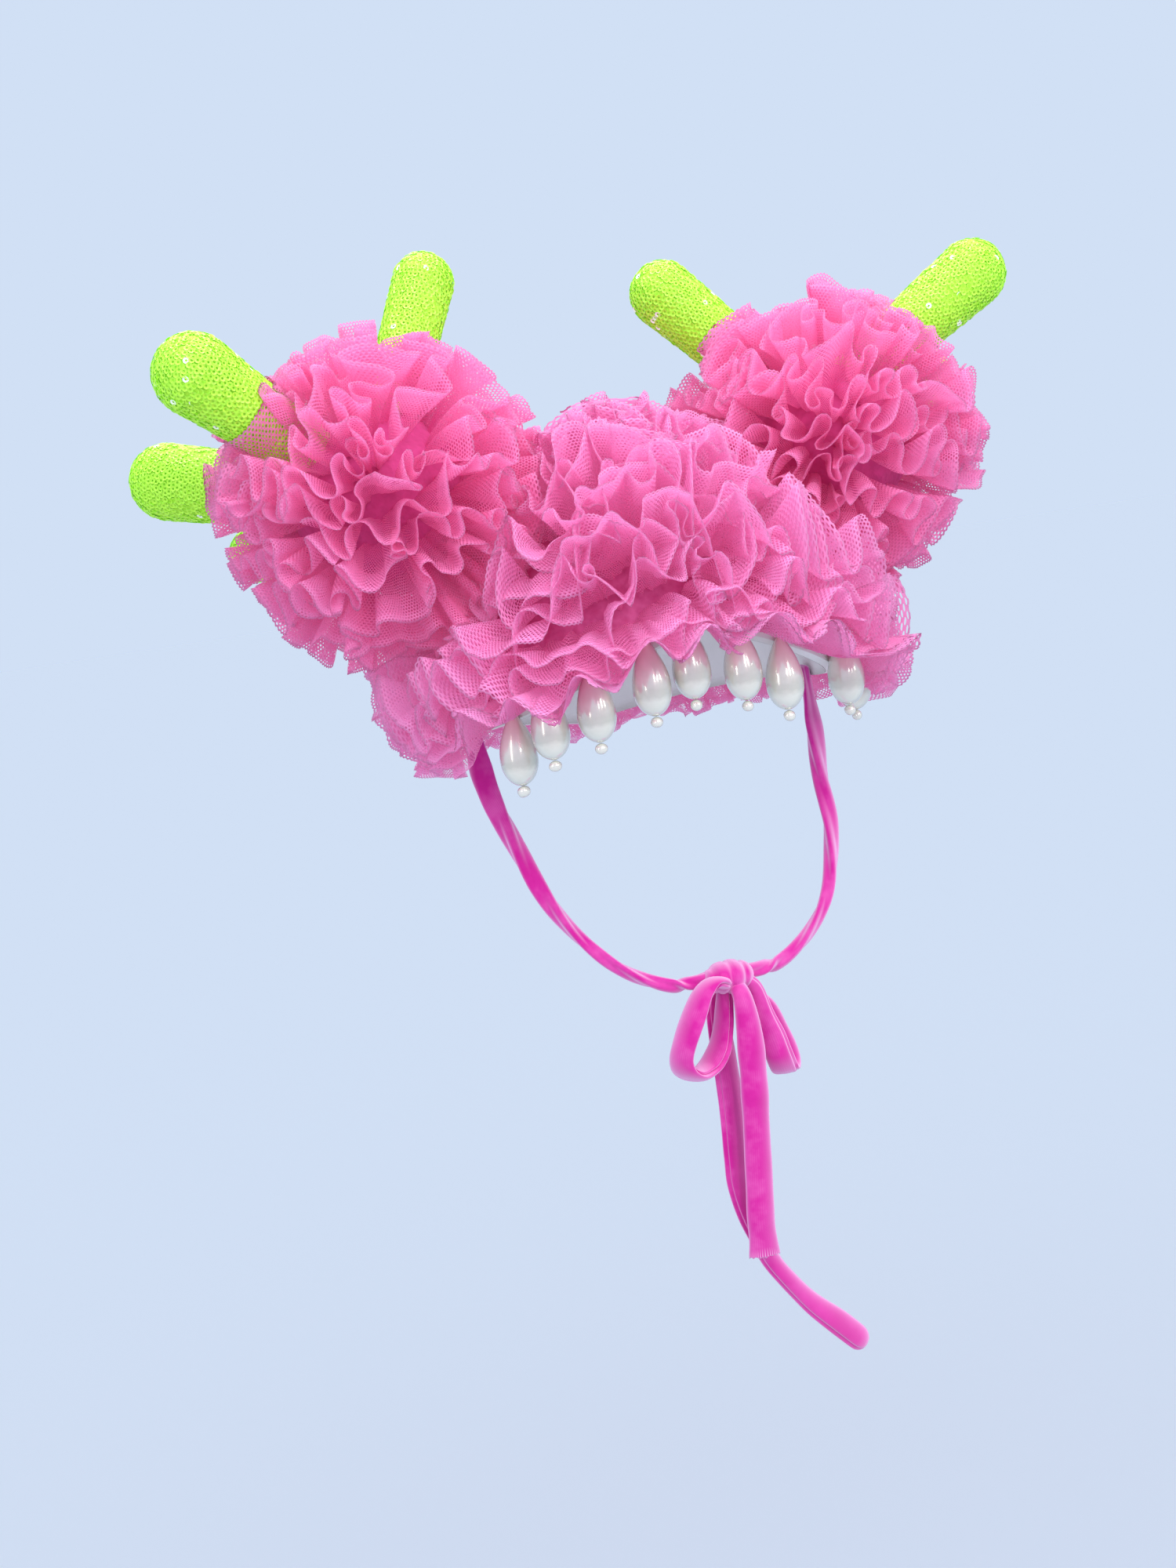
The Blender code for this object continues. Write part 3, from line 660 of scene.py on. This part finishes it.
def sharp_turns(rng, cloth, wave):
    """To and fro in straight runs of uneven length, from -1.2 to 1.2."""
    turns = np.zeros(len(cloth))
    place, side = 0.0, 1
    while place < cloth[-1]:
        run = wave * rng.uniform(0.18, 0.62)
        turns[(cloth >= place) & (cloth < place + run)] = side * rng.uniform(0.45, 1.2)
        place += run
        side = -side
    return running_mean(turns, 3)


def meander(length, gather, rng):
    """The free edge of a gathered strip, as S-curves: place on the cloth, place along the row, and how far the
    edge lies along and across from there."""
    wave = gather.wave
    cloth = np.arange(0, length * 7, CLOTH_STEP)
    rate = 2 * math.pi / (wave * (1 + 0.38 * smooth_noise(rng, cloth, wave)))
    phase = rng.uniform(0, 2 * math.pi) + np.cumsum(rate) * CLOTH_STEP
    turn = (1 - gather.crisp) * np.sin(phase) + gather.crisp * sharp_turns(rng, cloth, wave)
    heading = gather.swing * (1 + 0.2 * smooth_noise(rng, cloth, 0.7 * wave)) * turn
    heading += 0.3 * smooth_noise(rng, cloth, 0.16 * wave)
    along = np.cumsum(np.cos(heading)) * CLOTH_STEP
    across = np.cumsum(np.sin(heading)) * CLOTH_STEP
    end = max(8, int(np.searchsorted(along, length)))
    cloth, along, across = cloth[:end], along[:end], across[:end]
    steady = np.linspace(0, along[-1], end)
    window = int(wave / CLOTH_STEP)
    spots = steady + running_mean(along - steady, window)
    return cloth, spots, along - spots, across - running_mean(across, window)


def facing_of(grid):
    return unit(np.cross(np.gradient(grid, axis=1), np.gradient(grid, axis=0)))


def strip_points(path, gather, rng, height_of):
    """A strip gathered onto a path and folded along its free edge: its grid of points, their places on the flat
    cloth, and its height along the path."""
    cloth, spots, shift, sway = meander(path.length * gather.fan, gather, rng)
    base, along, out, down = path.frames(spots / gather.fan)
    height = gather.height * (1 + 0.2 * smooth_noise(rng, cloth, 34 * MM)) * height_of(base)
    height += 2 * MM * smooth_noise(rng, cloth, 9 * MM)
    lean = gather.lean + gather.flop * smooth_noise(rng, cloth, 0.5 * gather.wave)
    lean += 0.5 * gather.flop * smooth_noise(rng, cloth, 2.5 * gather.wave)
    twirl = smooth_noise(rng, cloth, 0.35 * gather.wave)
    pleats = smooth_noise(rng, cloth, 4.5 * MM)
    crumple = smooth_noise(rng, cloth, 9 * MM)
    shares = np.array([share for share, _ in FRONT_LAYER])
    middle = []
    for share in shares:
        spread = 0.10 + 0.90 * share**0.75
        angle = lean * (0.4 + 0.6 * share)
        rise, fall = np.cos(angle), np.sin(angle)
        upward = out * rise[:, None] + down * fall[:, None]
        sideways = down * rise[:, None] - out * fall[:, None]
        bulge = 1.6 * MM * twirl * math.sin(math.pi * share)
        point = base + upward * (height * share)[:, None]
        point += along * (shift * spread)[:, None] + sideways * (sway * spread + bulge)[:, None]
        middle.append(point)
    middle = np.array(middle)
    facing = facing_of(middle)
    middle += facing * (gather.pleat * (1 - 0.6 * shares)[:, None] * pleats)[..., None]
    middle += facing * (gather.crumple * shares[:, None] * crumple)[..., None]
    facing = facing_of(middle)
    half = FOLD_HALF * (1 + 0.5 * smooth_noise(rng, cloth, 12 * MM))
    rows, flat = [], []
    for share, layer in PROFILE:
        level = np.searchsorted(shares, share)
        rows.append(middle[level] + facing[level] * (layer * half)[:, None])
        from_fold = (1 - share) * height * (1 if layer >= 0 else -1)
        flat.append(np.column_stack([cloth, from_fold]))
    return np.array(rows), np.array(flat), height


def keep_off_segment(points, start, end, start_radius, end_radius):
    """Moves points that lie inside a tapered rod out to its surface."""
    line = end - start
    share = np.clip((points - start) @ line / (line @ line), 0, 1)
    centre = start + share[..., None] * line
    radius = start_radius + (end_radius - start_radius) * share
    away = points - centre
    distance = np.linalg.norm(away, axis=-1)
    inside = distance < radius
    moved = centre + away * (radius / np.maximum(distance, 1e-9))[..., None]
    return np.where(inside[..., None], moved, points)


def keep_off_cap(points):
    half = CAP_INNER + CAP_WALL + FELT_GAP
    way = (points - CAP_CENTRE) / half
    level = np.linalg.norm(way, axis=-1, keepdims=True)
    return np.where(level < 1, CAP_CENTRE + way / np.maximum(level, 1e-6) * half, points)


def bell(offset):
    return np.exp(-(offset**2))


def hem_reach(bearing):
    """How far the net hangs below the rim."""
    reach = HEM_REACH * (1 + HEM_SIDE * np.abs(np.sin(bearing)) ** 4 + HEM_RAGGED * np.sin(12 * bearing + 1))
    for middle, half_width, depth in HEM_NOTCHES:
        reach *= 1 - depth * bell((np.degrees(bearing) - middle) / half_width)
    return reach


def over_pearls(bearing):
    """1 at a pearl, 0 between them."""
    nearest = 0 * bearing
    for low, high in PEARL_BOXES:
        pearl = math.atan2(-low.x - high.x, -low.y - high.y)
        nearest = np.maximum(nearest, bell((bearing - pearl) / HEM_LIFT_WIDTH))
    return nearest


def keep_above_hem(points):
    """Turns net that would hang far below the cap's rim outward instead."""
    bearing = np.arctan2(-points[..., 0], -points[..., 1])
    bare = over_pearls(bearing)
    over = np.maximum(0, rim_height(bearing) + HEM_START + HEM_RISE * bare - points[..., 2])
    reach = hem_reach(bearing) * (1 - HEM_LIFT * bare)
    kept = reach * (1 - np.exp(-over / reach))
    outward = unit(points * (1, 1, 0))
    moved = points + outward * (HEM_FLARE * (over - kept))[..., None]
    moved[..., 2] += over - kept
    return moved


def keep_off_rods(points):
    """Moves points out of the tines and the pearls."""
    for _, _, tip_centre, root_middle, root, tip in TINES:
        start, end = np.array(root_middle) * MM, np.array(tip_centre) * MM
        points = keep_off_segment(points, start, end, root * MM + TINE_GAP, tip * MM + TINE_GAP)
    for low, high in PEARL_BOXES:
        centre = (low + high) / 2
        belly = np.array((centre.x, centre.y, low.z + PEARL_BELLY))
        top = np.array((centre.x, centre.y, high.z))
        points = keep_off_segment(points, belly, top, PEARL_RADIUS + PEARL_GAP, PEARL_TOP)
    return points


def add_strip(parts, path, gather, rng, height_of):
    """A strip along a path, left out where it has no height."""
    rows, flat, height = strip_points(path, gather, rng, height_of)
    rows = keep_off_rods(keep_off_cap(keep_above_hem(rows)))
    faces = grid_faces(*rows.shape[:2])
    standing = height > LEAST_HEIGHT
    parts.add(rows.reshape(-1, 3), faces[standing[faces[:, 0] % rows.shape[1]]], flat.reshape(-1, 2))
    parts.cut_length += CLOTH_STEP * standing.sum()


def cap_height_of(base):
    """Share of the full height: the cap's ruffles are short where an antler sits."""
    share = np.ones(len(base))
    for centre in ANTLERS.values():
        distance = np.linalg.norm(base - centre, axis=1)
        share = np.minimum(share, np.clip((distance - SEAT_RADIUS) / SEAT_FADE, 0.0, 1))
    return share


def hem_length(share, bearing):
    """The lowest rows are shorter at the sides and back."""
    turned_back = np.clip((np.abs(np.degrees(bearing)) - HEM_BACK) / HEM_BACK_FADE, 0, 1)
    return 1 - HEM_BACK_LOWER * np.clip((share - 0.8) / 0.2, 0, 1) * turned_back


def cap_gather(share):
    """How a row gathers: upright on the crown, and ever more turned down towards the hem."""
    hem = max(0.0, (share - HEM_FROM) / (1 - HEM_FROM))
    return CAP_GATHER._replace(
        wave=CAP_GATHER.wave * (CROWN_WAVE if share < CROWN else 1),
        lean=CAP_GATHER.lean * (0.1 + 1.1 * share + 0.7 * hem),
        flop=CAP_GATHER.flop * (0.7 + 0.3 * share - 0.6 * hem),
        fan=CROWN_FAN if share < CROWN else CAP_GATHER.fan,
        height=CAP_GATHER.height * (1 - 0.22 * hem),
    )


def make_cap_net(materials):
    """Rows of gathered net round the cap, which wander a little, and the length of their cloth."""
    rng = np.random.default_rng(5)
    parts = Parts()
    for share in CAP_ROWS:
        bearing = rng.uniform(0, 2 * math.pi) + np.linspace(0, ROW_ROUND, 300)
        wander = 0.03 * np.sin(3 * bearing + 60 * share) + 0.03 * np.sin(7 * bearing + 120 * share)
        polar = share * rim_polar(bearing) + wander * (1 - share) ** 0.5
        points, outward = on_cap(CAP_WALL + 0.5 * MM, polar, bearing)

        def height_of(base, share=share):
            round_cap = np.arctan2(-base[:, 0], -base[:, 1])
            return cap_height_of(base) * hem_length(share, round_cap)

        add_strip(parts, Path(points, outward), cap_gather(share), rng, height_of)
    add_cap_core(parts)
    return parts.make("cap_net", materials), parts.cut_length


def add_cap_core(parts):
    """The dense foot of the gathers, a skin over the felt that ends above the rim."""
    columns, rows = 96, 24
    bearing = angles_round(columns)
    shares = np.linspace(0.01, 0.97, rows)
    polar = shares[:, None] * rim_polar(bearing)[None]
    ripple = 0.8 * MM * np.sin(31 * bearing)[None] * np.sin(9 * polar)
    points, _ = on_cap(CAP_WALL + 1.4 * MM + ripple, polar, bearing[None] + 0 * polar)
    parts.add_round(points, kind=1)


def make_antler_net(side, materials):
    """Rows of gathered net round a ball, and the length of their cloth."""
    centre = ANTLERS[side]
    turn = turned_up(ANTLER_POLES[side])
    rng = np.random.default_rng(21 if side == "right" else 22)
    parts = Parts()
    for row in range(ANTLER_ROWS):
        polar = math.pi * (row + 0.6) / (ANTLER_ROWS + 0.2)
        bearing = rng.uniform(0, 2 * math.pi) + np.linspace(0, ROW_ROUND, 200)
        way = round_pole(polar + 0.06 * np.sin(2 * bearing + row), bearing) @ turn.T
        path = Path(centre + way * ANTLER_CORE, way)
        add_strip(parts, path, ANTLER_GATHER, rng, lambda base: np.ones(len(base)))
    add_antler_core(parts, centre)
    return parts.make(f"antler_net_{side}", materials), parts.cut_length


def add_antler_core(parts, centre):
    """The dense foot of the gathers on a ball."""
    columns, rows = 48, 24
    polar, around, way = ball_grid(rows, columns)
    radius = ANTLER_CORE + 2 * MM + 1.2 * MM * np.sin(9 * around) * np.sin(7 * polar)
    parts.add_round(keep_off_cap(centre + way * radius[..., None]), kind=1)


def tine_outline(reach, root, tip):
    """Distance from the root and radius along a tine, with its foot sunk in the ball."""
    dome = np.linspace(0, math.pi / 2, 24)
    foot = np.linspace(-TINE_FOOT, 0, 8, endpoint=False)
    along = np.concatenate([foot[:1], foot, np.linspace(0, reach, 50), reach + tip * np.sin(dome[1:])])
    radius = np.concatenate([[0], 0 * foot + root * 0.9, np.linspace(root, tip, 50), tip * np.cos(dome[1:])])
    return along, radius


def make_tine(tine, materials, rng):
    """A stuffed club of lime cloth, closely sewn with ring sequins."""
    side, name, tip_centre, root_middle, root, tip = tine
    start = np.array(root_middle) * MM
    line = np.array(tip_centre) * MM - start
    reach = np.linalg.norm(line)
    turn = turned_up(line)
    along, radius = tine_outline(reach, root * MM - ROOT_INSET, tip * MM - TIP_INSET)
    columns = 40
    around = angles_round(columns)
    lumps = 1 + 0.02 * np.sin(3 * around + 1)[None] * np.sin(along / (11 * MM))[:, None]
    ring = np.stack([np.cos(around), np.sin(around)], -1)
    skin = ring[None] * (radius[:, None] * lumps)[..., None]
    skin = np.concatenate([skin, np.repeat(along[:, None, None], columns, 1)], -1)
    parts = Parts()
    parts.add_round(skin @ turn.T + start, kind=0)
    add_sequins(parts, along, radius, turn, start, rng)
    return parts.make(f"tine_cover_{side}_{name}", materials)


def add_sequins(parts, along, radius, turn, start, rng):
    """Rows of cupped rings round a tine, each a little out of place and tilted."""
    steps = np.hypot(np.diff(along), np.diff(radius))
    length = np.concatenate([[0], np.cumsum(steps)])
    angle = angles_round(SEQUIN_SIDES)
    ring = np.stack([np.cos(angle), np.sin(angle), 0 * angle], -1)
    shape = np.vstack([ring * SEQUIN_RADIUS, ring * SEQUIN_HOLE - (0, 0, SEQUIN_CUP)])
    faces = grid_faces(2, SEQUIN_SIDES, closed=True)
    rows = int(length[-1] / (SEQUIN_PITCH * SEQUIN_ROWS))
    for row in range(rows + 1):
        spot = length[-1] * row / rows
        level, size = np.interp(spot, length, along), np.interp(spot, length, radius)
        lift = np.interp(spot + MM, length, along) - np.interp(spot - MM, length, along)
        shrink = np.interp(spot + MM, length, radius) - np.interp(spot - MM, length, radius)
        count = max(1, int(2 * math.pi * size / SEQUIN_PITCH))
        for number in range(count):
            turned = 2 * math.pi * (number + 0.5 * (row % 2) + 0.22 * rng.uniform(-1, 1)) / count
            outward = np.array((math.cos(turned), math.sin(turned), -shrink / max(lift, 1e-6)))
            outward = unit(outward + SEQUIN_TILT * rng.uniform(-1, 1, 3))
            side_way = unit(np.cross(outward, (0.31, 0.17, 1)))
            frame_of = np.stack([side_way, np.cross(outward, side_way), outward])
            stray = SEQUIN_STRAY * rng.uniform(-1, 1)
            place = np.array((size * math.cos(turned), size * math.sin(turned), level + stray))
            place += outward * (SEQUIN_LIFT + SEQUIN_UNEVEN * rng.uniform(-1, 1)) * MM
            kind = 2 if rng.uniform() < SEQUIN_CLEAR else 1
            parts.add((shape @ frame_of + place) @ turn.T + start, faces, kind=kind)


def pearl_radius(height):
    """Radius of a drop at a height above its lowest point."""
    below = PEARL_RADIUS * np.sqrt(np.maximum(0, 1 - (1 - height / PEARL_BELLY) ** 2))
    share = np.clip((height - PEARL_BELLY) / (PEARL_LENGTH - PEARL_BELLY), 0, 1)
    above = PEARL_RADIUS * np.cos(math.pi / 2 * share) ** PEARL_TAPER
    return np.where(height < PEARL_BELLY, below, above)


def make_pearl_piece(number, material):
    low, high = PEARL_BOXES[number - 1]
    centre = (low + high) / 2
    columns, rows = 40, 36
    turn = np.linspace(0, math.pi, rows)
    height = PEARL_LENGTH * (1 - np.cos(turn)) / 2
    around = angles_round(columns)
    uneven = 1 + 0.008 * np.sin(2 * around + number)
    radius = np.maximum(pearl_radius(height), 0.05 * MM)[:, None] * uneven[None]
    height = np.repeat(height[:, None], columns, 1)
    points = [centre.x + radius * np.cos(around), centre.y + radius * np.sin(around), low.z + height]
    level = np.stack([0 * height, height / PEARL_LENGTH], -1)
    return add_round(f"drop_pearl_{number}", np.stack(points, -1), material, level)


def make_bead_piece(number, material):
    """A small uneven seed pearl."""
    low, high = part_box(f"stop_bead_{number}")
    centre = np.array((low + high) / 2)
    rng = np.random.default_rng(60 + number)
    columns, rows = 24, 16
    _, _, way = ball_grid(rows, columns)
    size = np.ones(way.shape[:2])
    for _ in range(5):
        bump_way = unit(rng.normal(size=3))
        size += rng.uniform(-0.14, 0.16) * np.exp(-6 * (1 - way @ bump_way))
    stretch = 1 + rng.uniform(-0.06, 0.2, 3)
    stretch[2] = 0.98
    points = centre + way * (size[..., None] * stretch) * BEAD_RADIUS
    return add_round(f"seed_pearl_{number}", points, material, np.zeros((rows, columns, 2)))


def smooth_rows(rows, count):
    """Evenly spaced rows on a smooth curve through the given rows, and its length."""
    given = np.array(rows, float)
    ends = np.vstack([2 * given[0] - given[1], given, 2 * given[-1] - given[-2]])
    fine = []
    for i in range(len(given) - 1):
        before, start, end, after = ends[i : i + 4]
        for t in np.linspace(0, 1, 12, endpoint=False):
            bend = 2 * before - 5 * start + 4 * end - after
            twist = -before + 3 * start - 3 * end + after
            fine.append(start + 0.5 * t * (end - before) + 0.5 * t * t * bend + 0.5 * t**3 * twist)
    fine.append(given[-1])
    fine = np.array(fine)
    along = lengths_along(fine[:, :3])
    places = np.linspace(0, along[-1], count)
    return np.column_stack([np.interp(places, along, column) for column in fine.T]), along[-1] * MM


def mirrored(rows):
    """The tie of the other side, which runs to the same knot."""
    across = 2 * KNOT_CENTRE[0] / MM
    made = []
    for x, y, z, facing, width in rows:
        near_knot = max(0.0, (TIE[0][2] - z) / (TIE[0][2] - KNOT_CENTRE[2] / MM))
        made.append((-x + across * near_knot, y, z, 180 - facing, width))
    return made


def make_strap(name, rows, material, seed, grooves=(), lobes=0.0, twist=0.0, tip=STRAP_END, cut_end=False):
    """A flat velvet tube along its rows. grooves: direction round the tube, depth, half width; lobes: depth of
    three ridges that wind round it; twist: their turns over its length; tip: length of its rounded last end."""
    rng = np.random.default_rng(seed)
    _, length = smooth_rows(rows, 10)
    count = int(length / STRAP_STEP)
    rows, _ = smooth_rows(rows, count)
    middle = rows[:, :3] * MM
    ahead = unit(np.gradient(middle, axis=0))
    facing = np.radians(rows[:, 3])
    across = np.column_stack([np.cos(facing), np.sin(facing), 0 * facing])
    across = unit(across - ahead * (across * ahead).sum(1, keepdims=True))
    through = np.cross(ahead, across)
    around = angles_round(STRAP_COLUMNS)[None]
    places = np.linspace(0, length, count)
    wound = around - 2 * math.pi * twist * (places / length)[:, None]
    size = 1 + lobes * np.cos(3 * wound)
    for direction, depth, half_width in grooves:
        off = np.angle(np.exp(1j * (wound - direction)))
        size = size - depth * bell(off / half_width)
    size = size * (1 + 0.04 * smooth_noise(rng, places, 11 * MM)[:, None])
    to_end = np.minimum(places / STRAP_END, (length - places) / tip)[:, None]
    if cut_end:
        to_end[places > length / 2] = 1
    size = size * np.sqrt(np.clip(1 - (1 - np.clip(to_end, 0, 1)) ** 2, 0.0004, 1))
    flat_x = np.sign(np.cos(around)) * np.abs(np.cos(around)) ** 0.95
    x = STRAP_WIDTH / 2 * rows[:, 4][:, None] * flat_x * size
    y = STRAP_THICKNESS / 2 * np.sin(around) * size
    points = middle[:, None] + across[:, None] * x[..., None] + through[:, None] * y[..., None]
    if cut_end:
        points = np.concatenate([points, cut_edge(points, ahead[-1], rng)])
    round_tube = np.repeat(around / (2 * math.pi) * STRAP_ROUND, len(points), 0)
    from_end = np.concatenate([length - places, np.zeros(len(points) - count)]) + (0 if cut_end else 1)
    cloth = np.stack([round_tube, np.repeat(from_end[:, None], STRAP_COLUMNS, 1)], -1)
    return add_round(name, points, material, cloth)


def cut_edge(points, ahead, rng):
    """Frayed rim of a cut tube, and the inside of its mouth down to a closed floor."""
    rim = points[-1]
    centre = rim.mean(0)
    frayed = rim + ahead * (0.5 * MM + 0.6 * MM * rng.uniform(-1, 1, len(rim)))[:, None]
    mouth = centre + (rim - centre) * 0.8 + ahead * 0.2 * MM
    inside = centre + (rim - centre) * 0.7 - ahead * 5 * MM
    return np.array([frayed, mouth, inside, centre + (inside - centre) * 0.02])


def make_knot(material):
    """The lump of the tie wound over itself, with the edges of its turns as grooves."""
    polar, around, _ = ball_grid(40, 48, hole=0.01)
    level = np.sin(polar) ** 0.8
    lie = np.cos(polar) + 0 * around
    size = 1.0
    for place, sway, depth in KNOT_GROOVES:
        off = lie - place - sway * np.sin(around + 5 * place)
        size = size - depth * bell(off / KNOT_GROOVE_WIDTH)
    way = np.stack([lie, level * np.cos(around) * size, level * np.sin(around) * size], -1)
    points = KNOT_CENTRE + way * KNOT_HALF
    cloth = np.stack([lie * KNOT_HALF[0], 1 + 0 * lie], -1)
    return add_round("tie_knot", points, material, cloth)


def make_felt_cap(material):
    """The felt dome: inner face, rolled rim edge and outer face."""
    columns = 144
    bearing = angles_round(columns)
    rim = rim_polar(bearing)
    shares = np.linspace(0.005, 1, 30)
    rows = [(0.2 * MM, share * rim) for share in shares]
    rows += [(CAP_WALL * (0.5 - 0.5 * math.cos(angle)), rim) for angle in np.linspace(0, math.pi, 9)[1:-1]]
    rows += [(CAP_WALL, share * rim) for share in shares[::-1]]
    points = np.array([on_cap(offset, polar, bearing)[0] for offset, polar in rows])
    return add_round("felt_cap", points, material)


def add_camera():
    azimuth, elevation, roll = map(math.radians, (CAMERA_AZIMUTH, CAMERA_ELEVATION, CAMERA_ROLL))
    aim = Matrix.Rotation(azimuth, 4, "Z") @ Matrix.Rotation(math.pi / 2 - elevation, 4, "X")
    data = bpy.data.cameras.new("camera")
    data.lens, data.sensor_width, data.clip_start = CAMERA_LENS, CAMERA_SENSOR, CAMERA_NEAR
    camera = bpy.data.objects.new("camera", data)
    bpy.context.scene.collection.objects.link(camera)
    camera.matrix_world = Matrix.Translation(CAMERA_PLACE) @ aim @ Matrix.Rotation(roll, 4, "Z")
    bpy.context.scene.camera = camera


def add_lamp(name, place, size, power):
    data = bpy.data.lights.new(name, "AREA")
    data.shape = "RECTANGLE"
    data.size, data.size_y = size
    data.energy = power
    made = bpy.data.objects.new(name, data)
    made.location = place
    made.rotation_mode = "QUATERNION"
    made.rotation_quaternion = (Vector(LIT_SPOT) - Vector(place)).to_track_quat("-Z", "Y")
    bpy.context.scene.collection.objects.link(made)
    return made


def add_studio():
    """A pale world, the lamps, and a wide white floor below, which the lamps don't light."""
    world = bpy.data.worlds.new("studio")
    world.use_nodes = True
    background = world.node_tree.nodes["Background"].inputs
    background["Color"].default_value = (*BACKGROUND, 1)
    background["Strength"].default_value = 1.0
    bpy.context.scene.world = world
    lamps = [add_lamp(*lamp) for lamp in LAMPS]
    white = principled(new_material("floor")[0], (1, 1, 1, 1), 1.0, {})
    corners = [(x * FLOOR_HALF, y * FLOOR_HALF, FLOOR) for x, y in ((-1, -1), (1, -1), (1, 1), (-1, 1))]
    floor = add_mesh("floor", corners, [(0, 1, 2, 3)], [white])
    lit = bpy.data.collections.new("lit_by_lamps")
    lit.objects.link(floor)
    lit.collection_objects[0].light_linking.link_state = "EXCLUDE"
    for lamp in lamps:
        lamp.light_linking.receiver_collection = lit


def ride(piece, node):
    """Puts a piece in the place of its node."""
    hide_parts(node)
    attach(piece, BODY)


def add_net():
    cap_net = make_net("net_cap", CAP_PINK, CAP_PINK_EDGE, CAP_PINK_DEEP, CAP_PAINTED_GLOW)
    antler_net = make_net("net_antler", PINK, PINK_EDGE, PINK_DEEP, PAINTED_GLOW)
    cap_core = make_net_core("core_cap", CORE_DENSE_SHADE, CAP_PINK_DEEP)
    antler_core = make_net_core("core_antler", CORE_DENSE_SHADE, PINK_DEEP)
    nets = [(*make_cap_net([cap_net, cap_core]), "cap_ruffles", CAP_GATHER)]
    for side in ANTLERS:
        nets.append((*make_antler_net(side, [antler_net, antler_core]), f"antler_{side}", ANTLER_GATHER))
    for piece, cut_length, node, gather in nets:
        ride(piece, node)


def add_tines():
    sequins = [make_sequin("sequin_lime", LIME, 0.86), make_sequin("sequin_clear", CLEAR, 0.9)]
    materials = [make_lime_cloth(), *sequins]
    rng = np.random.default_rng(9)
    for tine in TINES:
        piece = make_tine(tine, materials, rng)
        ride(piece, f"tine_{tine[0]}_{tine[1]}")


def add_pearls():
    coat = make_pearl()
    for number in range(1, PEARLS + 1):
        ride(make_pearl_piece(number, coat), f"pearl_{number}")
        ride(make_bead_piece(number, coat), f"stop_bead_{number}")


def add_velvet():
    velvet = make_velvet()
    loop_grooves = ((-0.35, 0.4, 0.2), (math.pi, 0.35, 0.2))
    tail_grooves = ((math.pi - 0.5, 0.2, 0.18),)
    straps = (
        ("velvet_tie_right", TIE, "tie_right", {"lobes": 0.2, "twist": 1.3}),
        ("velvet_tie_left", mirrored(TIE), "tie_left", {"lobes": 0.2, "twist": -1.3}),
        ("velvet_loop_right", BOW_LOOP_RIGHT, "bow_loop_right", {"grooves": loop_grooves}),
        ("velvet_loop_left", BOW_LOOP_LEFT, "bow_loop_left", {"grooves": ((0.5, 0.16, 0.2),)}),
        ("velvet_tail_front", TAIL_FRONT, "tail_front", {"cut_end": True}),
        ("velvet_tail_back", TAIL_BACK, "tail_back", {"grooves": tail_grooves, "tip": TAIL_TIP}),
    )
    for seed, (name, rows, node, shape) in enumerate(straps, start=40):
        ride(make_strap(name, rows, velvet, seed, **shape), node)
    ride(make_knot(velvet), "knot")


def main():
    bpy.context.scene.view_settings.view_transform = "Standard"
    bpy.context.scene.cycles.transparent_max_bounces = NET_LAYERS
    add_camera()
    add_studio()
    ride(make_felt_cap(make_felt()), "cap_shell")
    add_net()
    add_tines()
    add_pearls()
    add_velvet()


main()
